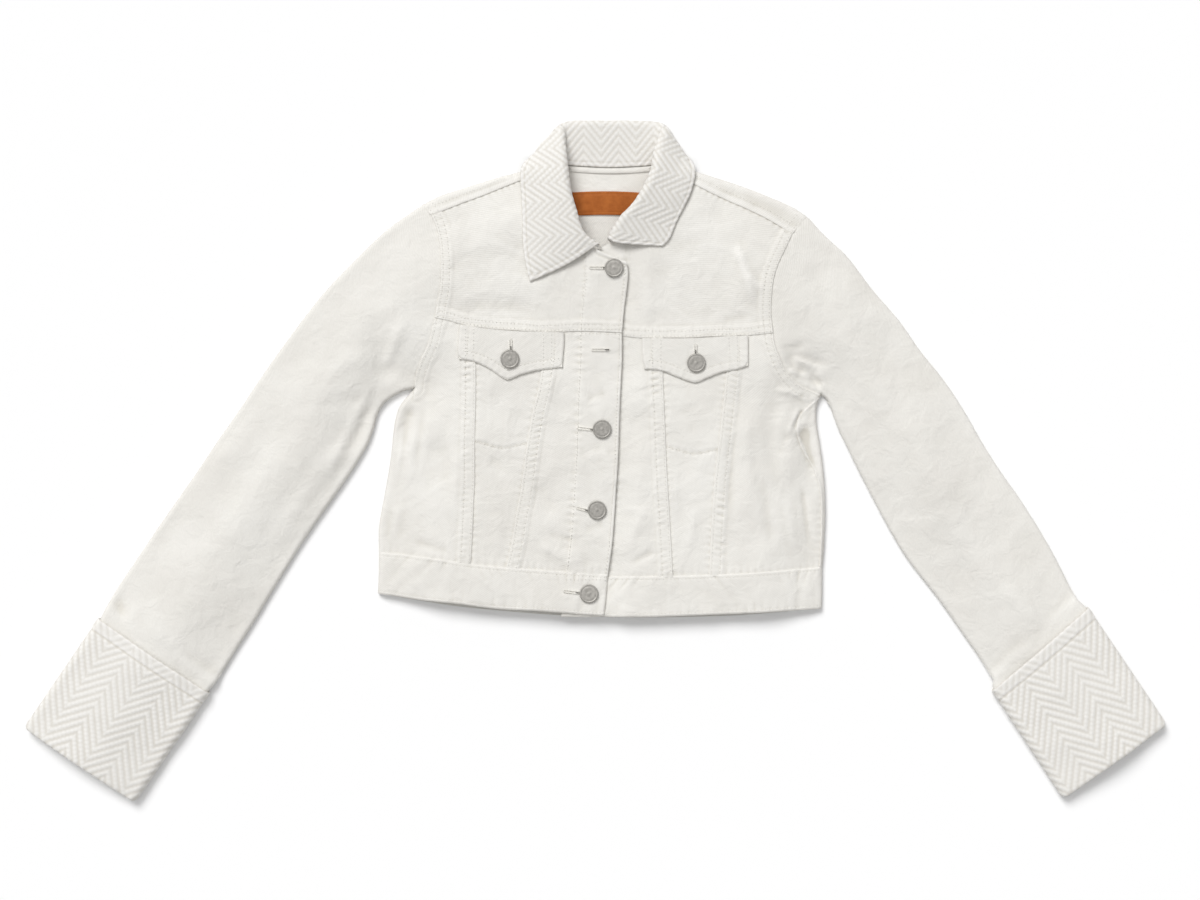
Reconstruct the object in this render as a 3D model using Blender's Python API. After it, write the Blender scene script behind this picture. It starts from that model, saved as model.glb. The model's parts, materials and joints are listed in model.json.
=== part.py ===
"""A cropped white denim jacket, buttoned and laid flat on its back.

Every piece that is cut and sewn is one closed solid: a wall of cloth between an outer
and an inner skin. The outlines are drafted in millimetres, x to the right and y towards
the collar, as the jacket lies; z is up from the table. Right and left are the wearer's,
so the right front has the smaller x and laps over the left front.
"""

import math

import bmesh
import bpy
import numpy as np
from mathutils import Vector

# ---------------------------------------------------------------- driving sizes, in mm
MM = 0.001
CENTRE_SHIFT = (0.5, -1.1)     # moves the drafted jacket onto the centre of its own box
CLOTH = 1.2                    # one layer of denim
BAND_CLOTH = 2.6               # waistband, two layers and the seam between them
SEAM_GAP = 0.3                 # between two pieces that meet at a seam
CORNER_GAP = 1.2               # the side seam starts in the sharp corner of the underarm
CORNER_ROWS = 3                # and has this gap in its first rows
FOLD_RADIUS = 4.0              # round edge where the garment folds over at its sides
CROWN = 9.0                    # how far the top rises from the folded edge to the middle
CROWN_REACH = 66.0             # distance from the edge at which the full crown is reached
LAP_RISE = 0.8                 # raised lap of a felled seam
LAP_STEP = 1.0                 # width over which the lap rises
UNDERLAP_DROP = 3.3            # the left front dips by this under the right placket
COLLAR_CLOTH = 2.2
COLLAR_LIFT = 2.9              # the back yoke at the neck lies on the collar's fall
CUFF_CLOTH = 2.0
CUFF_RADIUS = 7.0
CUFF_CROWN = 6.0
CUFF_RETURN = 20.0             # depth of the cuff's inner turn
SLEEVE_IN_CUFF = 2.4           # the sleeve stands in from the cuff's outer face
FLAP_CLOTH = 1.6
FLAP_CLEARANCE = 1.2           # the flap lies over the felled seams of the pocket
FOLD_STEPS = (0.003, 0.54, 2.0, 4.0)   # distances from a folded edge where points lie
ON_EDGE = 0.3                  # a point this near to a folded edge counts as lying on it
FELL_LAP = 13.0                # felled seam of the fronts
ARMHOLE_LAP = 11.0
YOKE_LAP = 10.0
PLACKET = 42.0
UNDERLAP_EASE = 14.0           # the left front has risen again this far from the edge
BAND_RISE = 0.6
LAID_ON = 0.6                  # what lies on the inner back stands off by this
BAND_DROP = 3.2
SLEEVE_SHORT = 22.0            # the sleeve ends short of the cuff's inner turn
OUTER_CROWDING = 1.35          # rows crowd towards the armhole, where the folds are
INNER_CROWDING = 1.8           # and more so at the underarm, where the rows fan out
ARMHOLE_FADE = 6               # how quickly the rows lose the armhole's curve
SLEEVE_BEFORE_CUFF = 9.0       # the last row that shows lies this far from the end
CUFF_SLACK = 1.5               # the sleeve's crown stays below the cuff's by this

# steps between points: down the armhole, down the side, along the other seams
ARM_STEPS = 5
UNDERARM_STEPS = 5
SIDE_STEPS = 9
BAND_STEPS = 3
SHOULDER_STEPS = 7
NECK_STEPS = 5
BACK_YOKE_STEPS = 5
SLEEVE_STEPS = 12
BUTTON_SIDES = 16
BUTTON_PROFILE = [             # radius, height
    (5.0, 0.0), (5.0, 1.0), (9.3, 1.3), (9.1, 3.0), (7.6, 3.4), (7.0, 2.9),
]

# ------------------------------------------------- folded edges, outer silhouette, in mm
SHOULDER_EDGE = {
    "right": [(-43, 302), (-56, 299), (-76, 291), (-96, 286), (-116, 280), (-136, 273.5),
              (-156, 267), (-174, 258)],
    "left": [(72, 302), (84, 297), (101, 291), (145, 277), (183, 262), (198, 255), (206, 250),
             (211, 246.5)],
}
SLEEVE_OUTER = {
    "right": [(-174, 258), (-190, 247), (-211, 232), (-242, 202), (-271, 172), (-295, 142),
              (-317, 112), (-338, 82), (-358, 52), (-379, 22), (-399, -8), (-420, -38),
              (-441, -68), (-461, -98), (-481, -128), (-497, -156)],
    "left": [(211, 246.5), (215.5, 242.5), (222, 235), (234, 223), (252, 206), (278, 172), (304, 142), (325, 112),
             (349, 82), (369, 52), (386, 22), (405, -8), (426, -38), (445, -68),
             (462, -98), (477, -128), (488, -146)],
}
SLEEVE_INNER = {
    "right": [(-182, 74), (-192, 71.5), (-204, 65.5), (-214, 57), (-220, 46), (-223, 34),
              (-229, 18), (-238, 2), (-251, -18), (-265, -38), (-290, -74), (-316, -115),
              (-343, -160), (-364, -193), (-386.5, -230)],
    "left": [(226, 67), (231, 63), (235, 55), (239, 44), (244, 31), (252, 15), (264, -10),
             (307, -89), (344, -138), (372, -178), (384, -195), (403, -226)],
}
BODY_SIDE = {
    "right": [(-182, 74), (-190, 65), (-197, 56), (-201, 44), (-203, 32), (-205, 12),
              (-207, -3), (-213, -38), (-216, -53), (-218, -68), (-218, -90)],
    "left": [(226, 67), (222, 58), (221, 42), (224, 22), (227, 2), (229, -18), (230, -38),
             (230, -58), (229, -78), (227, -105)],
}
BAND_SIDE = {
    "right": [(-218, -90), (-218, -111), (-219, -132)],
    "left": [(227, -105), (227, -126), (226.5, -147)],
}

# ----------------------------------------------------------------- seams on the front, in mm
ARMHOLE_TOP = {                # from the shoulder's fold to the shoulder seam
    "right": [(-174, 258), (-169, 252.5), (-165, 247)],
    "left": [(211, 246.5), (203.5, 238), (197, 229)],
}
ARMHOLE_YOKE = {               # from the shoulder seam to the yoke seam
    "right": [(-165, 247), (-160, 235), (-157, 222), (-155, 202), (-155, 187),
              (-156, 172), (-159, 157), (-161, 144)],
    "left": [(197, 229), (189, 212), (184, 202), (180, 192), (177, 180), (175.5, 165),
             (175, 152), (176, 137), (177, 129)],
}
ARMHOLE_SIDE = {               # from the yoke seam to the underarm
    "right": [(-161, 144), (-164, 132), (-168, 117), (-174, 105), (-178, 95),
              (-181, 85), (-182, 74)],
    "left": [(177, 129), (179, 117), (183, 107), (187, 97), (194, 86), (204, 77),
             (215, 72), (226, 67)],
}
SHOULDER_SEAM = {              # from the armhole to the neck
    "right": [(-165, 247), (-155, 251), (-136, 258.5), (-116, 266), (-96, 274), (-75, 282),
              (-56, 289), (-43, 293)],
    "left": [(197, 229), (189, 233), (174, 242), (154, 252), (129, 263), (114, 270),
             (98, 278), (84, 286), (71, 292)],
}
NECKLINE = {                   # from the shoulder seam down to the placket
    "right": [(-43, 293), (-41, 278), (-37, 262), (-31, 245), (-22, 229), (-10, 218),
              (4, 211)],
    "left": [(71, 292), (67, 278), (60, 262), (52, 248), (42, 236), (28, 226), (14, 219)],
}
NECK_CORNER = {                # the top edge of each placket
    "right": [(4, 211), (19, 205), (31, 200)],
    "left": [(14, 219), (2, 213), (-13, 208)],
}
YOKE_SEAM = {                  # armhole, first felled seam, second felled seam, edge
    "right": [[(-161, 144), (-146, 141), (-133, 137), (-120, 134.5)],
              [(-120, 134.5), (-96, 132), (-76, 131), (-55, 129)],
              [(-55, 129), (-31, 130), (-16, 130.5), (4, 130), (26, 129)]],
    "left": [[(177, 129), (159, 127), (144, 126), (130, 125.5)],
             [(130, 125.5), (114, 125), (94, 124), (67, 123.7)],
             [(67, 123.7), (44, 124), (26, 125.5), (4, 126), (-18, 126)]],
}
OUTER_FELL = {                 # felled seam between the side and the pocket panel
    "right": [(-120, 134.5), (-120, 100), (-120, 62), (-121, 22), (-121, -18),
              (-122, -38), (-123, -68), (-125, -101.2)],
    "left": [(130, 125.5), (131, 107), (130, 89), (128, 67), (123, 22), (118, -23),
             (115, -68), (113, -112.2)],
}
INNER_FELL = {                 # felled seam between the pocket and the centre panel
    "right": [(-55, 129), (-55, 112), (-55, 91), (-58, 72), (-63, 52), (-69, 17),
              (-76, -33), (-80, -53), (-84, -78), (-90, -104.8)],
    "left": [(67, 123.7), (67, 90), (69, 42), (71, -8), (74, -58), (77, -113.3)],
}
SIDE_SEAM = {                  # where the front side panel ends
    "left": [(226, 67), (214, 57), (205, 48), (201, 37), (203, 22), (210, 7), (217, -6),
             (222, -18), (225, -33), (225.5, -48), (225.5, -68), (225, -88), (224, -105)],
}
FRONT_EDGE_YOKE = {
    "right": [(31, 200), (32, 187), (30, 167), (28, 152), (26, 129)],
    "left": [(-13, 208), (-13, 190), (-15, 170), (-16, 150), (-18, 126)],
}
FRONT_EDGE_BODY = {
    "right": [(26, 129), (26, 102), (25, 82), (24, 62), (23, 32), (22, 2), (20, -28),
              (18, -58), (16, -83), (12, -112)],
    "left": [(-18, 126), (-18, 102), (-19, 82), (-20, 62), (-21, 32), (-22, 2),
             (-24, -28), (-26, -58), (-28, -83), (-32, -114)],
}
FRONT_EDGE_BAND = {
    "right": [(12, -112), (10, -133), (8, -153.5)],
    "left": [(-32, -114), (-34, -134), (-35, -155)],
}
BAND_TOP = {                   # side, first fell, second fell, front edge
    "right": [[(-218, -90), (-196, -91.5), (-176, -94), (-156, -96.8), (-125, -101.2)],
              [(-125, -101.2), (-107, -103.2), (-90, -104.8)],
              [(-90, -104.8), (-76, -105.9), (-56, -107.3), (-36, -108.7), (-16, -110),
               (12, -112)]],
    "left": [[(224, -105), (204, -106.5), (184, -108.2), (164, -109.7), (144, -111),
              (113, -112.2)],
             [(113, -112.2), (95, -112.8), (77, -113.3)],
             [(77, -113.3), (64, -113.5), (44, -113.8), (24, -114), (4, -114),
              (-32, -114)]],
}
HEM = {                        # side to front edge
    "right": [(-219, -132), (-196, -135), (-176, -138), (-156, -140), (-136, -142),
              (-116, -145), (-96, -147), (-76, -148), (-56, -149), (-36, -150.5),
              (-16, -152), (8, -153.5)],
    "left": [(226.5, -147), (184, -149.5), (144, -151.5), (104, -153), (64, -154.5),
             (44, -155), (8, -155), (-35, -155)],
}

# -------------------------------------------------------------------- seams on the back, in mm
BACK_CENTRE_X = 4.0
BACK_FELL_TOP = 84.0           # half width of the centre back at the yoke
BACK_FELL_HEM = 62.0           # half width of the centre back at the waistband
BACK_BAND_TOP = [(-218, -90), (-130, -104), (0, -113), (130, -112), (227, -105)]
BACK_HEM = [(-219, -132), (-130, -146), (0, -155.5), (130, -154.5), (226.5, -147)]
BACK_NECK = [(-43, 302), (-38, 299.5), (-27, 297), (14, 295), (55, 297), (66, 299.5), (72, 302)]
NECK_BINDING = (-26.0, 54.0, 289.5, 294.0)      # left, right, low, high
NECK_LABEL = (-26.0, 44.0, 248.0, 271.5)

# ---------------------------------------------------------- flaps, buttons and cuffs, in mm
FLAP_SIDE_SEAMWARD = {
    "right": [(-136, 137.5), (-137.5, 120), (-138, 107), (-136, 103)],
    "left": [(152, 126.3), (152, 112), (152, 100), (151, 96)],
}
FLAP_BOTTOM = {
    "right": [(-136, 103), (-121, 100), (-106, 93), (-96, 86), (-88, 82.5), (-76, 87),
              (-61, 91), (-51, 92.5), (-34, 95)],
    "left": [(151, 96), (139, 92), (124, 89), (109, 83), (100, 79.5), (92, 81), (79, 86),
             (66, 91), (49, 93)],
}
FLAP_SIDE_CENTRE = {
    "right": [(-32, 129.5), (-32, 118), (-33, 106), (-34, 95)],
    "left": [(46, 123.7), (46, 112), (47, 100), (49, 93)],
}
FLAP_TOP = {
    "right": [(-136, 137.5), (-110, 133.3), (-76, 130.5), (-32, 129.5)],
    "left": [(152, 126.3), (125, 125.2), (94, 123.6), (46, 123.7)],
}
BUTTONS = [                    # name, x, y, what it lies on
    ("button_neck", 18.0, 194.0, "placket"),
    ("button_placket_upper", 6.0, 33.0, "placket"),
    ("button_placket_lower", 1.0, -48.0, "placket"),
    ("button_waistband", -7.0, -131.5, "waistband"),
    ("button_flap_right", -86.0, 103.0, "flap"),
    ("button_flap_left", 100.0, 99.0, "flap"),
]
CUFF_CORNERS = {               # top outer, top inner, bottom outer, bottom inner
    "right": ((-499, -156), (-387, -231.5), (-574, -266), (-462, -342)),
    "left": ((493.5, -145), (396.5, -229), (573, -263), (468, -338)),
}

# --------------------------------------------------------------- main folds of the cloth, in mm
# start, end, half width, height (negative for a trough)
FOLDS = [
    ((-204, 74), (-226, 160), 14, -3.5),
    ((-216, 60), (-262, 5), 12, -3.0),
    ((-236, 60), (-245, 120), 16, 3.0),
    ((-184, 60), (-203, 5), 9, -4.5),
    ((-178, 40), (-190, -40), 12, 2.5),
    ((-160, 30), (-170, -50), 12, -2.0),
    ((186, 108), (236, 92), 8, -3.5),
    ((196, 92), (238, 74), 6, -3.0),
    ((206, 40), (222, -20), 9, -4.0),
    ((184, 60), (196, -30), 12, 2.5),
    ((176, 80), (178, -40), 10, -2.0),
    ((140, 220), (160, 152), 12, 2.0),
    ((-488, -128), (-470, -160), 9, -2.0),
    ((330, -60), (392, -150), 16, -2.5),
]

# ------------------------------------------------------------------------- the collar, in mm
# Each row is one section, from the neck seam over the roll to the edge of the fall:
# neck seam, neck side of the roll, roll, fall side of the roll, middle of the fall, edge
COLLAR_STEPS = (2, 2, 2, 2, 2)
COLLAR_FINE = 2
COLLAR = [
    [(6, 214, 17), (4, 218, 21), (1, 217, 24), (-4, 213, 24), (-28, 198, 22.5), (-62, 182, 20.4)],
    [(-8, 222, 17), (-7, 225, 24), (-11, 224, 27), (-17, 221, 26.5), (-40, 209, 24), (-64, 194, 20.4)],
    [(-20, 232, 17), (-14, 235, 25), (-18, 236, 29), (-25, 234, 28), (-47, 226, 25), (-70, 215, 19.8)],
    [(-29, 248, 16), (-19, 251, 25), (-23, 252, 30), (-31, 250, 29), (-51, 245, 25), (-74, 240, 19.2)],
    [(-34, 264, 13.5), (-24, 269, 24), (-28, 270, 30), (-36, 269, 29), (-54, 266, 24), (-75, 268, 17.5)],
    [(-38, 281, 10.8), (-27, 291, 22), (-31, 292, 28), (-39, 292, 27), (-56, 292, 21), (-75, 295, 14.6)],
    [(-38, 294, 9.6), (-29, 309, 20), (-33, 313, 23), (-42, 316, 20), (-58, 315, 10), (-63, 308, 3)],
    [(-33, 299.3, 7.4), (-30, 322, 14), (-34, 330, 15), (-42, 333, 10), (-46, 327, 3), (-50, 300, 0)],
    [(-26, 297.7, 5.6), (-28, 331, 9.4), (-29, 340, 7.6), (-30, 341.5, 4.2), (-31, 336, 0), (-34, 288, 0)],
    [(-6, 296.5, 5.4), (-6, 337, 8.3), (-6, 342, 6.6), (-6, 342.5, 3), (-6, 337, 0), (-6, 284, 0)],
    [(14, 295.7, 5.4), (14, 337, 8.3), (14, 342, 6.6), (14, 342.5, 3), (14, 337, 0), (14, 282, 0)],
    [(34, 296.5, 5.4), (34, 337, 8.3), (34, 342, 6.6), (34, 342.5, 3), (34, 337, 0), (34, 284, 0)],
    [(55, 297.7, 5.6), (62, 331, 9.4), (64, 339, 7.6), (65, 340.5, 4.2), (66, 335, 0), (64, 288, 0)],
    [(62, 299.3, 7.4), (61, 322, 14), (66, 330, 15), (74, 332, 10), (78, 326, 3), (80, 300, 0)],
    [(66, 294.5, 9.6), (57, 309, 20), (62, 313, 23), (71, 315, 20), (86, 313, 10), (92, 307, 3)],
    [(64, 282, 10.8), (54.5, 293, 22), (58, 292, 28), (66, 290, 27), (82, 291, 21), (99.5, 293, 14.6)],
    [(57, 265.5, 13.5), (47, 274.5, 24), (50, 273, 30), (57, 269.5, 29), (77, 269, 24), (96, 272, 18)],
    [(48.6, 250.5, 16), (35.5, 257, 25), (38, 255, 30), (44, 250.5, 29), (66, 251, 25), (88, 254, 19.4)],
    [(38.5, 239, 17), (24.7, 246, 24), (27, 244, 29), (32.5, 239, 28), (56, 239, 25), (80, 238, 20)],
    [(26, 229, 17), (13.5, 235.5, 22), (16, 233.5, 27), (22.7, 228.2, 26.5), (45, 228, 24), (73, 224, 20.4)],
    [(12.5, 221.5, 16), (6.5, 227.5, 19.5), (9, 226, 24.5), (16.5, 222.5, 25), (40, 219.5, 22.5), (66, 217, 20.4)],
]


# ------------------------------------------------------------------------ curves and heights
def dense_curve(points):
    """A smooth line of many points through the given ones."""
    points = [np.array(p, float) for p in points]
    ends = [2 * points[0] - points[1]] + points + [2 * points[-1] - points[-2]]
    dense = []
    for a, b, c, d in zip(ends, ends[1:], ends[2:], ends[3:]):
        span = np.linalg.norm(c - b)
        leave = (c - a) / np.linalg.norm(c - a) * span
        arrive = (d - b) / np.linalg.norm(d - b) * span
        for t in np.arange(0.0, 1.0, 0.125):
            dense.append((2 * t**3 - 3 * t**2 + 1) * b + (t**3 - 2 * t**2 + t) * leave
                         + (3 * t**2 - 2 * t**3) * c + (t**3 - t**2) * arrive)
    dense.append(points[-1])
    return np.array(dense)


def at_lengths(line, wanted):
    """Points at the wanted distances along a line."""
    steps = np.linalg.norm(np.diff(line, axis=0), axis=1)
    length = np.concatenate([[0], np.cumsum(steps)])
    return np.column_stack([np.interp(wanted, length, line[:, k])
                            for k in range(line.shape[1])])


def spaced(line, count):
    """count + 1 points at equal steps along a line."""
    line = np.asarray(line, float)
    length = np.linalg.norm(np.diff(line, axis=0), axis=1).sum()
    return at_lengths(line, np.linspace(0, length, count + 1))


def curve(points, count):
    return spaced(dense_curve(points), count)


def joined(*lines):
    """Several lines end to end, each shared point once."""
    return np.vstack([lines[0]] + [line[1:] for line in lines[1:]])


def ease(t):
    """A soft step from 0 to 1."""
    t = np.clip(t, 0.0, 1.0)
    return t * t * (3 - 2 * t)


def nearest_edge(points, edges):
    """Distance to the nearest folded edge, and the direction away from it.

    The edges run with the garment on their left, which decides for points on an edge.
    """
    best = np.full(len(points), 1e9)
    away = np.zeros((len(points), 2))
    rows = np.arange(len(points))
    for line in edges:
        starts, spans = line[:-1], np.diff(line, axis=0)
        offset = points[:, None, :] - starts[None]
        along = np.clip((offset * spans).sum(2) / (spans**2).sum(1), 0, 1)
        apart = offset - along[..., None] * spans[None]
        distance = np.linalg.norm(apart, axis=2)
        nearest = distance.argmin(1)
        closer = distance[rows, nearest] < best
        best = np.where(closer, distance[rows, nearest], best)
        unit = apart[rows, nearest] / np.maximum(best, 1e-9)[:, None]
        leftward = np.column_stack([-spans[nearest, 1], spans[nearest, 0]])
        leftward /= np.linalg.norm(leftward, axis=1)[:, None]
        unit = np.where((best < ON_EDGE)[:, None], leftward, unit)
        away = np.where(closer[:, None], unit, away)
    return best, away


def lift(points):
    """The back of the neck lies on the collar's fall, so the garment is raised there."""
    across = ease((118.0 - np.abs(points[:, 0] - 14.0)) / 34.0)
    return COLLAR_LIFT * across * ease((points[:, 1] - 215.0) / 60.0)


def folds(points):
    """Height of the main folds at each point."""
    height = np.zeros(len(points))
    for start, end, half_width, rise in FOLDS:
        start, end = np.array(start, float), np.array(end, float)
        span = end - start
        along = np.clip(((points - start) @ span) / (span @ span), 0, 1)
        apart = np.linalg.norm(points - start - along[:, None] * span, axis=1)
        fade = ease(along * 4) * ease((1 - along) * 2.5)
        height += rise * fade * np.exp(-(apart / half_width) ** 2)
    return height


def drape(points, layer, edges, radius=FOLD_RADIUS, crown=CROWN, base=0.0):
    """Height and outward direction of the outer face, from the distance to the folds.

    radius, crown and base may be one value or one for each point.
    """
    distance, away = nearest_edge(points, edges)
    cosine = np.clip((radius - distance) / radius, 0, 1)
    sine = np.sqrt(1 - cosine**2)
    if layer == "bottom":
        height = base + radius - radius * sine + lift(points)
        return height, np.column_stack([-away * cosine[:, None], -sine])
    share = np.clip(distance / CROWN_REACH, 0, 1)
    slope = crown * 6 * share * (1 - share) / CROWN_REACH
    height = (base + radius + radius * sine + crown * ease(share) + lift(points)
              + folds(points) * ease(distance / 14.0))
    normal = np.column_stack([-away * (cosine + slope * sine)[:, None], sine])
    return height, normal / np.linalg.norm(normal, axis=1)[:, None]


# --------------------------------------------------------------------------- laying a panel
def coons(top, bottom, left, right, fade=1):
    """Points between four edges; top and bottom run left to right, the others down.

    fade is how quickly the rows lose the shape of the top edge.
    """
    u = np.linspace(0, 1, len(top))[None, :, None]
    v = 1 - np.linspace(1, 0, len(left))[:, None, None] ** fade
    corners = ((1 - u) * (1 - v) * top[0] + u * (1 - v) * top[-1]
               + (1 - u) * v * bottom[0] + u * v * bottom[-1])
    return ((1 - v) * top[None] + v * bottom[None]
            + (1 - u) * left[:, None] + u * right[:, None] - corners)


def positions(length, lap_start, lap_end, count):
    """Places along a line, with a step where a lap ends, and which of them are raised."""
    start = [0.0, lap_start, lap_start + LAP_STEP] if lap_start else [0.0]
    end = [length - lap_end - LAP_STEP, length - lap_end, length] if lap_end else [length]
    middle = list(np.linspace(start[-1], end[0], count + 1)[1:-1])
    raised = [1.0] * (len(start) - 1) + [0.0] * (count + 1) + [1.0] * (len(end) - 1)
    return np.array(start + middle + end), np.array(raised)


def resample(grid, axis, count, lap_start=0.0, lap_end=0.0):
    """Space a grid of x, y, raised anew along one axis, with room for its laps."""
    work = grid if axis == 1 else grid.transpose(1, 0, 2)
    rows = []
    for line in work:
        steps = np.linalg.norm(np.diff(line[:, :2], axis=0), axis=1)
        length = np.concatenate([[0], np.cumsum(steps)])
        wanted, raised = positions(length[-1], lap_start, lap_end, count)
        new = np.column_stack([np.interp(wanted, length, line[:, k]) for k in range(3)])
        new[:, 2] = np.maximum(new[:, 2].round(), raised)
        rows.append(new)
    work = np.array(rows)
    return work if axis == 1 else work.transpose(1, 0, 2)


def share_points(line, shares):
    """Points at the given shares of a line's length."""
    steps = np.linalg.norm(np.diff(line[:, :2], axis=0), axis=1)
    length = np.concatenate([[0], np.cumsum(steps)])
    return np.column_stack([np.interp(shares * length[-1], length, line[:, k])
                            for k in range(line.shape[1])])


def inward_of(line, toward):
    """Unit directions across a line in plan, on the side of the point given."""
    tangent = np.gradient(line, axis=0)
    normal = np.column_stack([-tangent[:, 1], tangent[:, 0]])
    normal /= np.linalg.norm(normal, axis=1)[:, None]
    middle = len(line) // 2
    if (np.asarray(toward) - line[middle]) @ normal[middle] < 0:
        normal = -normal
    return normal


def shrink(grid, sides, amount=SEAM_GAP / 2):
    """Pull the named edges of a grid in by half the seam gap."""
    grid = grid.copy()
    edges = {"top": (grid[0], grid[1]), "bottom": (grid[-1], grid[-2]),
             "left": (grid[:, 0], grid[:, 1]), "right": (grid[:, -1], grid[:, -2])}
    moves = {}
    for side in sides:
        edge, inner = edges[side]
        moves[side] = inward_of(edge[:, :2], inner[len(edge) // 2, :2]) * amount
    for side, move in moves.items():
        edges[side][0][:, :2] += move
    return grid


def fold_strip(edge, on_fold, top, bottom, toward):
    """Points in from a folded edge; its two ends follow the seams that meet it."""
    inward = inward_of(edge, toward)
    for row, seam in ((0, top), (-1, bottom)):
        run = at_lengths(seam, [0.0, FOLD_STEPS[-1]])
        inward[row] = (run[1] - run[0]) / np.linalg.norm(run[1] - run[0])
    steps = np.tile(np.array(FOLD_STEPS), (len(edge), 1))
    steps[~on_fold, 0] = SEAM_GAP / 2
    return edge[:, None] + inward[:, None] * steps[..., None]


def between(line, start, end):
    """The part of a line from one point on it to another, in 48 even steps."""
    from_start = np.linalg.norm(line - line[0], axis=1)
    from_end = np.linalg.norm(line - line[-1], axis=1)
    kept = ((from_start > np.linalg.norm(start - line[0]) + 0.4)
            & (from_end > np.linalg.norm(end - line[-1]) + 0.4))
    return spaced(np.vstack([[start], line[kept], [end]]), 48)


def cut_panel(top, bottom, left, right, count, laps=(0.0, 0.0), rows=None,
              left_fold=None, right_fold=None, gaps=("top", "bottom"), places=None, fade=1):
    """A plan grid of x, y, raised for one panel.

    left and right run down and share their number of points; top and bottom are dense
    lines from left to right. count is the number of columns between the laps, and laps
    the widths of the raised laps along left and right. rows gives the same for rows that
    are spaced anew. left_fold and right_fold mark the points of an edge that lie on a
    fold. gaps names the sides where another piece is sewn on. places, when given, are
    the distances along top where the columns start, instead of count.
    """
    middle = (left[len(left) // 2] + right[len(right) // 2]) / 2
    strip_left = strip_right = None
    inner_left, inner_right = left, right
    if left_fold is not None:
        strip_left = fold_strip(left, left_fold, top, bottom, middle)
        inner_left = strip_left[:, -1]
    if right_fold is not None:
        strip_right = fold_strip(right, right_fold, top[::-1], bottom[::-1], middle)
        inner_right = strip_right[:, -1]
    grid = coons(between(top, inner_left[0], inner_right[0]),
                 between(bottom, inner_left[-1], inner_right[-1]), inner_left, inner_right,
                 fade)
    grid = np.dstack([grid, np.zeros(grid.shape[:2])])
    if places is None:
        grid = resample(grid, 1, count, *laps)
    else:
        length = np.linalg.norm(np.diff(top, axis=0), axis=1).sum()
        shares = (np.array(places) - FOLD_STEPS[-1]) / (length - 2 * FOLD_STEPS[-1])
        grid = np.array([share_points(line, np.clip(shares, 0, 1)) for line in grid])
    if rows is not None:
        grid = resample(grid, 0, *rows)
    before = grid.copy()
    grid = shrink(grid, [side for side in gaps])
    for strip, column in ((strip_left, 0), (strip_right, -1)):
        if strip is None:
            continue
        for row in (0, -1):
            strip[row] += grid[row, column, :2] - before[row, column, :2]
        strip = np.dstack([strip, np.zeros(strip.shape[:2])])[:, :-1]
        grid = (np.concatenate([strip, grid], axis=1) if column == 0
                else np.concatenate([grid, strip[:, ::-1]], axis=1))
    return grid


def shell(name, points, normals, wall, material, mask=None):
    """A closed wall of cloth: outer skin, inner skin and the rim between them."""
    rows, columns = points.shape[:2]
    wall = np.broadcast_to(np.asarray(wall, float), (rows, columns))
    skins = (points, points - normals * wall[..., None])
    mask = np.ones((rows - 1, columns - 1), bool) if mask is None else mask
    cells = list(zip(*np.nonzero(mask)))
    across = np.cross(points[1:, :-1] - points[:-1, :-1], points[:-1, 1:] - points[:-1, :-1])
    facing = (across * normals[:-1, :-1]).sum(2)[mask].sum()
    mesh = bmesh.new()
    corner = {}

    def vertex(i, j, layer):
        if (i, j, layer) not in corner:
            place = skins[layer][i, j] + np.array([*CENTRE_SHIFT, 0.0])
            corner[i, j, layer] = mesh.verts.new(Vector(place * MM))
        return corner[i, j, layer]

    filled = set(cells)
    for i, j in cells:
        loop = [(i, j), (i + 1, j), (i + 1, j + 1), (i, j + 1)]
        beyond = [(i, j - 1), (i + 1, j), (i, j + 1), (i - 1, j)]
        sides = [(loop[k], loop[(k + 1) % 4]) for k in range(4) if beyond[k] not in filled]
        if facing < 0:
            loop = loop[::-1]
            sides = [(b, a) for a, b in sides]
        mesh.faces.new([vertex(*place, 0) for place in loop])
        mesh.faces.new([vertex(*place, 1) for place in reversed(loop)])
        for a, b in sides:
            mesh.faces.new([vertex(*b, 0), vertex(*a, 0), vertex(*a, 1), vertex(*b, 1)])
    return finish(name, mesh, material)


def finish(name, mesh, material):
    """Turn a bmesh into a named object with its material."""
    data = bpy.data.meshes.new(name)
    mesh.to_mesh(data)
    mesh.free()
    data.materials.append(material)
    data.shade_smooth()
    data.set_sharp_from_angle(angle=math.radians(35))
    part = bpy.data.objects.new(name, data)
    bpy.context.scene.collection.objects.link(part)
    return part


def raise_grid(grid, layer, edges, offset=0.0, **form):
    """Points and normals for a plan grid of x, y, raised."""
    rows, columns = grid.shape[:2]
    height, normal = drape(grid[..., :2].reshape(-1, 2), layer, edges, **form)
    normal = normal.reshape(rows, columns, 3)
    offset = np.broadcast_to(offset, (rows * columns,))
    points = np.dstack([grid[..., :2], (height + offset).reshape(rows, columns)])
    return points + normal * (grid[..., 2] * LAP_RISE)[..., None], normal


def lay(name, grid, layer, edges, material, wall=CLOTH, offset=0.0):
    """Lay a plan grid on one face of the garment as a wall of cloth."""
    points, normals = raise_grid(grid, layer, edges, offset)
    return shell(name, points, normals, wall + grid[..., 2] * LAP_RISE, material)


def underlap(grid, drop):
    """How far the left front dips where the right placket lies over it."""
    edge = np.array((FRONT_EDGE_YOKE["right"] + FRONT_EDGE_BODY["right"][1:]
                     + FRONT_EDGE_BAND["right"][1:])[::-1], float)
    x, y = grid[..., 0].ravel(), grid[..., 1].ravel()
    edge_x = np.interp(y, edge[:, 1], edge[:, 0])
    return -drop * ease((edge_x + UNDERLAP_EASE - x) / (UNDERLAP_EASE - 2.0))


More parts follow.
